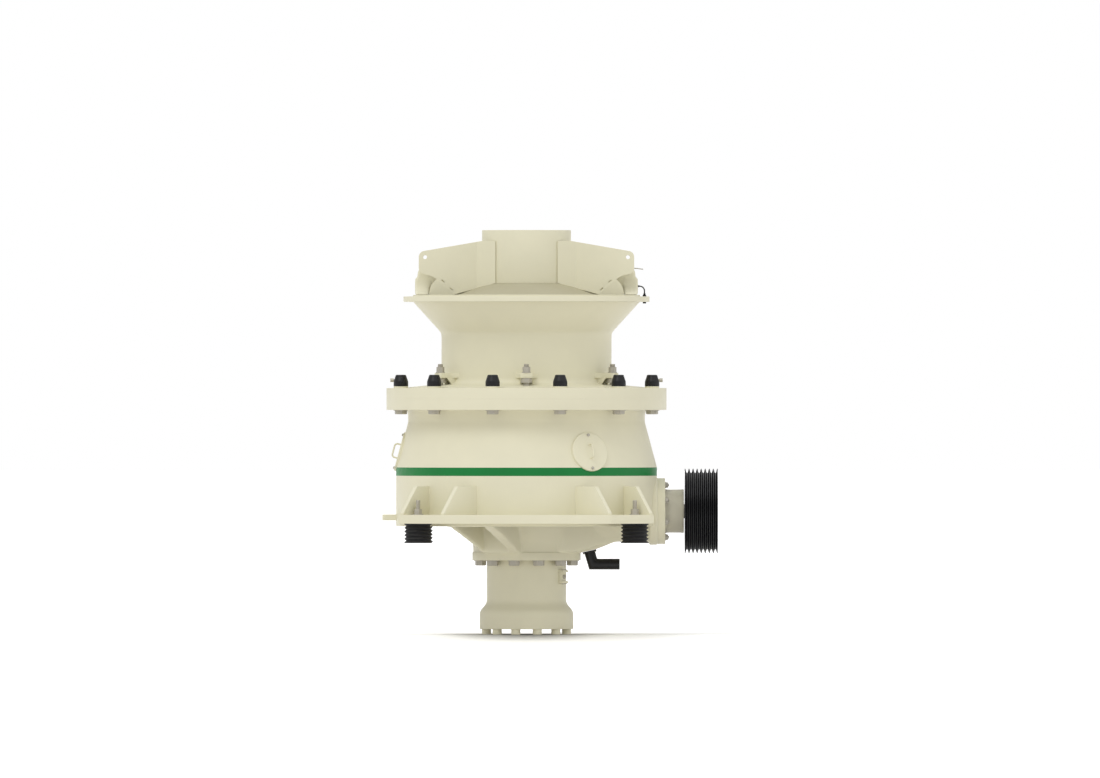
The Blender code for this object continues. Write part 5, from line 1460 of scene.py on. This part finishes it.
class CRUSHER_OT_shields(Operator):
    """Fold the four shield plates beside the spider's arms"""
    bl_idname = "crusher.shields"
    bl_label = "Arm Shields"

    plate: FloatProperty(
        name="Plate", description="Thickness of a shield plate",
        default=0.010, unit="LENGTH")

    def execute(self, context):
        cream = material_of(context, "Cream paint")
        flat = self.flat_plate()
        for row, side in (("front", -1.0), ("rear", 1.0)):
            for column, hand in (("left", -1.0), ("right", 1.0)):
                form = flat.copy()
                for vert in form.verts:
                    depth = self.depth(vert.co.x, vert.co.z) + vert.co.y
                    vert.co = Vector((vert.co.x * hand, depth * side, vert.co.z))
                if hand * side < 0.0:
                    bmesh.ops.reverse_faces(form, faces=form.faces)
                bmesh.ops.recalc_face_normals(form, faces=form.faces)
                name = row + "_" + column
                piece("shield_" + name, form, cream, ["arm_shield_" + name], sharp=4.0)
        flat.free()
        return {"FINISHED"}

    def depth(self, width, level):
        """Distance of the folded plate's inner face from the X axis."""
        root, fold, end = (0.195, 0.201), (FOLD_PLACE, 0.158), (0.677, 0.2315)
        if width < fold[0]:
            share = (width - root[0]) / (fold[0] - root[0])
            return root[1] + share * (fold[1] - root[1])
        share = (width - fold[0]) / (end[0] - fold[0])
        depth = fold[1] + share * (end[1] - fold[1])
        return depth - FLAP_LEAN * max(0.0, self.past_flap_line(width, level))

    def past_flap_line(self, width, level):
        """How far a point lies beyond the fold of the small foot flap."""
        along = (FLAP_END - FLAP_START).normalized()
        away = Vector((width, level)) - FLAP_START
        return away.x * -along.y + away.y * along.x

    def flat_plate(self):
        """The shield's outline with its hole and slots, flat, cut along its folds."""
        step = RIM_HIGH.z
        low, high, inner = step + 0.0012, step + 0.3385, 0.196
        corner = 0.038
        hole = (SHIELD_HIGH.x - corner, step + 0.2378)
        outline = [(inner, high), (0.280, high, 0.004)]
        outline += arc(hole, corner - 0.0002, 80.0, 0.0, 10)
        outline += arc((SHIELD_HIGH.x - corner, step + 0.168), corner, 0.0, -72.0, 8)
        outline += [(0.600, step + 0.121, 0.02), (0.5640, step + 0.099, 0.003), (0.598, step + 0.062, 0.02),
                    (0.6095, step + 0.032, 0.02), (0.6120, low, 0.002), (0.475, low, 0.01),
                    (0.455, low + 0.002, 0.002), (inner, step + 0.0745, 0.002)]
        slots = [(0.5254, step + 0.0862), (0.4725, step + 0.0363)]
        curve = bpy.data.curves.new("shield", "CURVE")
        curve.dimensions = "2D"
        curve.fill_mode = "BOTH"
        edge = 0.001
        curve.extrude = self.plate / 2.0 - edge
        curve.bevel_depth = edge
        curve.bevel_resolution = 1
        rings = [softened(outline, 0.002), arc(hole, 0.0140, 0.0, 350.0, 35)]
        for centre in slots:
            rings.append(self.slot_ring(centre))
        for ring in rings:
            spline = curve.splines.new("POLY")
            spline.points.add(len(ring) - 1)
            for point, (u, v) in zip(spline.points, ring):
                point.co = (u, v, 0.0, 1.0)
            spline.use_cyclic_u = True
        item = bpy.data.objects.new("shield", curve)
        bpy.context.scene.collection.objects.link(item)
        bpy.context.view_layer.update()
        graph = bpy.context.evaluated_depsgraph_get()
        form = bmesh.new()
        form.from_mesh(item.evaluated_get(graph).to_mesh())
        bpy.data.objects.remove(item)
        bpy.data.curves.remove(curve)
        bmesh.ops.remove_doubles(form, verts=form.verts, dist=1e-5)
        placed(form, Matrix.Rotation(math.radians(90.0), 4, "X"))
        along = (FLAP_END - FLAP_START).normalized()
        for point, normal in (((FOLD_PLACE, 0.0, 0.0), (1.0, 0.0, 0.0)),
                              ((FLAP_START.x, 0.0, FLAP_START.y), (-along.y, 0.0, along.x))):
            geometry = list(form.verts) + list(form.edges) + list(form.faces)
            bmesh.ops.bisect_plane(form, geom=geometry, dist=1e-5, plane_co=point, plane_no=normal)
        moved(form, (0.0, self.plate / 2.0, 0.0))
        return joined([form, self.backing(slots)])

    def backing(self, slots):
        """A strip on the inner face that closes the slots from behind."""
        first, last = (Vector(slot) for slot in slots)
        along = (last - first).normalized()
        aside = Vector((-along.y, along.x)) * 0.011
        first, last = first - along * 0.016, last + along * 0.016
        corners = [first - aside, first + aside, last + aside, last - aside]
        return prism([tuple(corner) for corner in corners], -0.006, 0.0002, "Y")

    def slot_ring(self, centre):
        """A short slot that lies along the flap's fold."""
        along = (FLAP_END - FLAP_START).normalized()
        reach, width = 0.009, 0.0042
        heading = math.degrees(math.atan2(along.y, along.x))
        first = Vector(centre) + along * reach
        second = Vector(centre) - along * reach
        ring = arc((first.x, first.y), width, heading - 90.0, heading + 90.0, 6)
        return ring + arc((second.x, second.y), width, heading + 90.0, heading + 270.0, 6)


class CRUSHER_OT_fittings(Operator):
    """Fit the drain elbow, the grease hose and the grease rod"""
    bl_idname = "crusher.fittings"
    bl_label = "Elbow and Grease Line"

    def execute(self, context):
        self.elbow(context)
        self.grease_line(context)
        return {"FINISHED"}

    def elbow(self, context):
        """A black elbow on a sloped pad under the hub, its mouth to the right."""
        plastic = material_of(context, "Cap plastic")
        zinc = material_of(context, "Bolt zinc")
        low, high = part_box("drain_elbow")
        radius = 0.0342
        level = 0.4087
        seat = Matrix.Translation((0.396, 0.0, 0.4925)) @ Matrix.Rotation(math.radians(-13.0), 4, "Y")
        start = tuple(seat @ Vector((0.0, 0.0, -0.004)))
        corner = (0.420, 0.0, level)
        leg = tube([start, corner, (high.x - 0.001, 0.0, level)], radius, 40)
        ribs = []
        root, crest = radius - 0.004, radius + 0.0004
        for index in range(5):
            place = high.x - 0.012 - index * 0.0125
            ring = [(root, place - 0.003), (crest, place - 0.002), (crest, place + 0.002),
                    (root, place + 0.003)]
            ribs.append(lathe(ring, 40, "X", (0.0, 0.0, level)))
        bore, back, front = radius - 0.007, high.x - 0.05, high.x + 0.01
        mouth = lathe([(0.0, back), (bore, back), (bore, front), (0.0, front)], 40, "X", (0.0, 0.0, level))
        pipe = carved(leg, mouth)
        pad_low, pad_half = -0.009, 0.0445
        pad = block((-pad_half, low.y + 0.0005, pad_low), (pad_half, high.y - 0.0005, 0.0), 0.002)
        pad = placed(pad, seat)
        piece("elbow", joined([pipe, pad] + ribs), plastic, ["drain_elbow"])
        bolts = []
        for offset_x in (-0.037, 0.037):
            for side in (-1.0, 1.0):
                spot = seat @ Matrix.Translation((offset_x, side * 0.033, pad_low))
                bolts.append(placed(hex_form(0.013, 0.006), spot @ flipped()))
        piece("elbow_pad_bolts", joined(bolts), zinc)

    def grease_line(self, context):
        """The short hose from the right arm end to the rim, its fittings and the thin rod."""
        rubber = material_of(context, "Mount rubber")
        zinc = material_of(context, "Bolt zinc")
        iron = material_of(context, "Pulley iron")
        low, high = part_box("grease_hose")
        hose, bend = 0.0042, 0.030
        level, drop = high.z - hose, high.x - hose
        route = [(low.x + 0.002, 0.0, level)]
        route += [(u, 0.0, v) for u, v in arc((drop - bend, level - bend), bend, 88.0, 0.0, 12)]
        route += [(drop, 0.0, low.z + 0.002)]
        piece("grease_tube", tube(route, 0.0040, 16), rubber, ["grease_hose"])
        upper = placed(joined([hex_form(0.016, 0.010), moved(hex_form(0.012, 0.006), (0.0, 0.0, 0.010))]),
                       Matrix.Translation((low.x - 0.004, 0.0, level)) @ pointing_x())
        nut = moved(joined([hex_form(0.026, 0.010), moved(hex_form(0.017, 0.009), (0.0, 0.0, 0.010))]),
                    (drop, 0.0, low.z - 0.0002))
        under = placed(hex_form(0.024, 0.010), Matrix.Translation((drop, 0.0, RIM_LOW.z)) @ flipped())
        piece("grease_fittings", joined([upper, nut, under]), iron)
        depth = -0.210
        rod = tube([(0.640, depth, 2.2722), (0.700, depth, 2.2705), (0.7345, depth, 2.2655)], 0.0034, 12)
        clip = block((0.652, depth - 0.008, 2.264), (0.664, depth + 0.005, 2.280), 0.001)
        piece("grease_rod", joined([rod, clip]), zinc)


class CRUSHER_OT_studio(Operator):
    """Build the pale floor, the soft studio light and the camera"""
    bl_idname = "crusher.studio"
    bl_label = "Studio"

    def execute(self, context):
        studio = context.scene.crusher_studio
        self.floor(studio)
        self.world(studio)
        self.lamp("Key light", studio.key, 26.0, studio.key_turn, studio.key_rise)
        self.lamp("Fill light", studio.fill, 50.0, math.radians(-62.0), math.radians(6.0))
        self.camera(studio)
        context.scene.view_settings.view_transform = "Standard"
        return {"FINISHED"}

    def floor(self, studio):
        """A white floor that sends a soft light up at the undersides and carries a painted contact shadow
        round the machine's foot; from beneath it is clear.
        """
        edge, far = -0.300, 400.0
        fall = far * math.tan(studio.floor_fall)
        form = bmesh.new()
        rows = []
        for depth, level in ((-far, -fall), (edge, 0.0), (far, 0.0)):
            rows.append([form.verts.new((width, depth, level)) for width in (-far, far)])
        for near, behind in zip(rows, rows[1:]):
            form.faces.new((near[0], near[1], behind[1], behind[0]))
        mesh = bpy.data.meshes.new("studio_floor")
        form.to_mesh(mesh)
        form.free()
        item = bpy.data.objects.new("studio_floor", mesh)
        item.location = (0.0, 0.0, GROUND - 0.0005)
        bpy.context.scene.collection.objects.link(item)
        material = bpy.data.materials.new("Studio floor")
        material.use_nodes = True
        nodes = Nodes(material.node_tree)
        light = nodes.add("ShaderNodeLightPath")
        seen = nodes.add("ShaderNodeBsdfDiffuse")
        place = nodes.add("ShaderNodeTexCoord").outputs["Object"]
        away = nodes.add("ShaderNodeVectorMath", operation="LENGTH")
        nodes.feed(away.inputs[0], place)
        # Painted shadow: the floor's seen colour darkens from white toward the axis between these two radii,
        # on top of the real shadow.
        outside, inside = 0.66, 0.22
        painted_contact_shadow = nodes.math("POWER", nodes.spread(away.outputs["Value"], outside, inside), 1.3)
        white, shadow = (1.40, 1.40, 1.40, 1.0), (0.04, 0.04, 0.045, 1.0)
        nodes.feed(seen.inputs["Color"], nodes.mix(painted_contact_shadow, white, shadow))
        bounce = nodes.add("ShaderNodeBsdfDiffuse")
        bounce.inputs["Color"].default_value = (0.80, 0.78, 0.75, 1.0)
        glow = nodes.add("ShaderNodeEmission")
        glow.inputs["Color"].default_value = (1.0, 0.97, 0.96, 1.0)
        glow.inputs["Strength"].default_value = studio.floor_glow
        lit = nodes.add("ShaderNodeAddShader")
        nodes.feed(lit.inputs[0], bounce.outputs[0])
        nodes.feed(lit.inputs[1], glow.outputs[0])
        to_eye = nodes.math("MAXIMUM", light.outputs["Is Camera Ray"], light.outputs["Is Glossy Ray"])
        above = nodes.choose(to_eye, lit, seen)
        backfacing = nodes.add("ShaderNodeNewGeometry").outputs["Backfacing"]
        either = nodes.choose(backfacing, above, nodes.add("ShaderNodeBsdfTransparent"))
        output = nodes.add("ShaderNodeOutputMaterial")
        nodes.feed(output.inputs["Surface"], either.outputs[0])
        mesh.materials.append(material)

    def world(self, studio):
        """White behind the machine; soft light that is stronger at eye level than above."""
        world = bpy.data.worlds.new("Studio")
        bpy.context.scene.world = world
        world.use_nodes = True
        nodes = Nodes(world.node_tree)
        place = nodes.add("ShaderNodeTexCoord").outputs["Generated"]
        parts = nodes.add("ShaderNodeSeparateXYZ")
        nodes.feed(parts.inputs[0], place)
        soft = nodes.add("ShaderNodeBackground")
        mirrored = nodes.add("ShaderNodeBackground")
        white = nodes.add("ShaderNodeBackground")
        for background in (soft, mirrored, white):
            background.inputs["Color"].default_value = (1.0, 1.0, 1.0, 1.0)
        level = nodes.spread(parts.outputs["Z"], 0.0, 0.8, studio.horizon, studio.sky)
        nodes.feed(soft.inputs["Strength"], level)
        nodes.feed(mirrored.inputs["Strength"], nodes.spread(parts.outputs["Z"], 0.45, 0.95, 0.65, 2.6))
        light = nodes.add("ShaderNodeLightPath")
        lighting = nodes.choose(light.outputs["Is Glossy Ray"], soft, mirrored)
        shown = nodes.math("MAXIMUM", light.outputs["Is Camera Ray"], light.outputs["Is Transmission Ray"])
        output = nodes.add("ShaderNodeOutputWorld")
        nodes.feed(output.inputs["Surface"], nodes.choose(shown, lighting, white).outputs[0])

    def lamp(self, name, strength, spread, turn, rise):
        """A distant lamp, turned from the front to the left and raised above the horizon."""
        lamp = bpy.data.lights.new(name, "SUN")
        lamp.energy = strength
        lamp.angle = math.radians(spread)
        item = bpy.data.objects.new(name, lamp)
        towards = Vector((-math.sin(turn) * math.cos(rise), -math.cos(turn) * math.cos(rise), math.sin(rise)))
        item.location = towards * 10.0
        item.rotation_mode = "QUATERNION"
        item.rotation_quaternion = towards.to_track_quat("Z", "Y")
        bpy.context.scene.collection.objects.link(item)

    def camera(self, studio):
        """The photograph's view: from the front, level with the aim."""
        data = bpy.data.cameras.new("Camera")
        data.lens = studio.focal
        data.sensor_width = 36.0
        data.clip_start = 1.0
        data.clip_end = studio.distance * 3.0
        item = bpy.data.objects.new("Camera", data)
        item.location = (studio.aim[0], studio.aim[1] - studio.distance, studio.aim[2])
        item.rotation_euler = (math.radians(90.0), 0.0, 0.0)
        bpy.context.scene.collection.objects.link(item)
        bpy.context.scene.camera = item


class CRUSHER_PT_panel(Panel):
    """Buttons and sizes of the crusher in the sidebar"""
    bl_idname = "CRUSHER_PT_panel"
    bl_label = "Cone Crusher"
    bl_space_type = "VIEW_3D"
    bl_region_type = "UI"
    bl_category = "Crusher"

    def draw(self, context):
        layout = self.layout
        for operator in OPERATORS:
            layout.operator(operator.bl_idname)
        scene = context.scene
        for group in (scene.crusher_paints, scene.crusher_sizes, scene.crusher_studio):
            box = layout.box()
            for name in group.bl_rna.properties.keys():
                if name not in ("rna_type", "name"):
                    box.prop(group, name)


OPERATORS = (
    CRUSHER_OT_cylinder,
    CRUSHER_OT_hub,
    CRUSHER_OT_shell,
    CRUSHER_OT_hatches,
    CRUSHER_OT_shelves,
    CRUSHER_OT_drive,
    CRUSHER_OT_top_shell,
    CRUSHER_OT_chamber,
    CRUSHER_OT_spider,
    CRUSHER_OT_shields,
    CRUSHER_OT_fittings,
    CRUSHER_OT_studio,
)
CLASSES = (CrusherPaints, CrusherSizes, CrusherStudio, *OPERATORS, CRUSHER_PT_panel)


def register():
    for cls in CLASSES:
        bpy.utils.register_class(cls)
    bpy.types.Scene.crusher_paints = PointerProperty(type=CrusherPaints)
    bpy.types.Scene.crusher_sizes = PointerProperty(type=CrusherSizes)
    bpy.types.Scene.crusher_studio = PointerProperty(type=CrusherStudio)


def unregister():
    del bpy.types.Scene.crusher_studio
    del bpy.types.Scene.crusher_sizes
    del bpy.types.Scene.crusher_paints
    for cls in reversed(CLASSES):
        bpy.utils.unregister_class(cls)


def main():
    register()
    bpy.ops.crusher.cylinder()
    bpy.ops.crusher.hub()
    bpy.ops.crusher.shell()
    bpy.ops.crusher.hatches()
    bpy.ops.crusher.shelves()
    bpy.ops.crusher.drive()
    bpy.ops.crusher.top_shell()
    bpy.ops.crusher.chamber()
    bpy.ops.crusher.spider()
    bpy.ops.crusher.shields()
    bpy.ops.crusher.fittings()
    bpy.ops.crusher.studio()


if __name__ == "__main__":
    main()
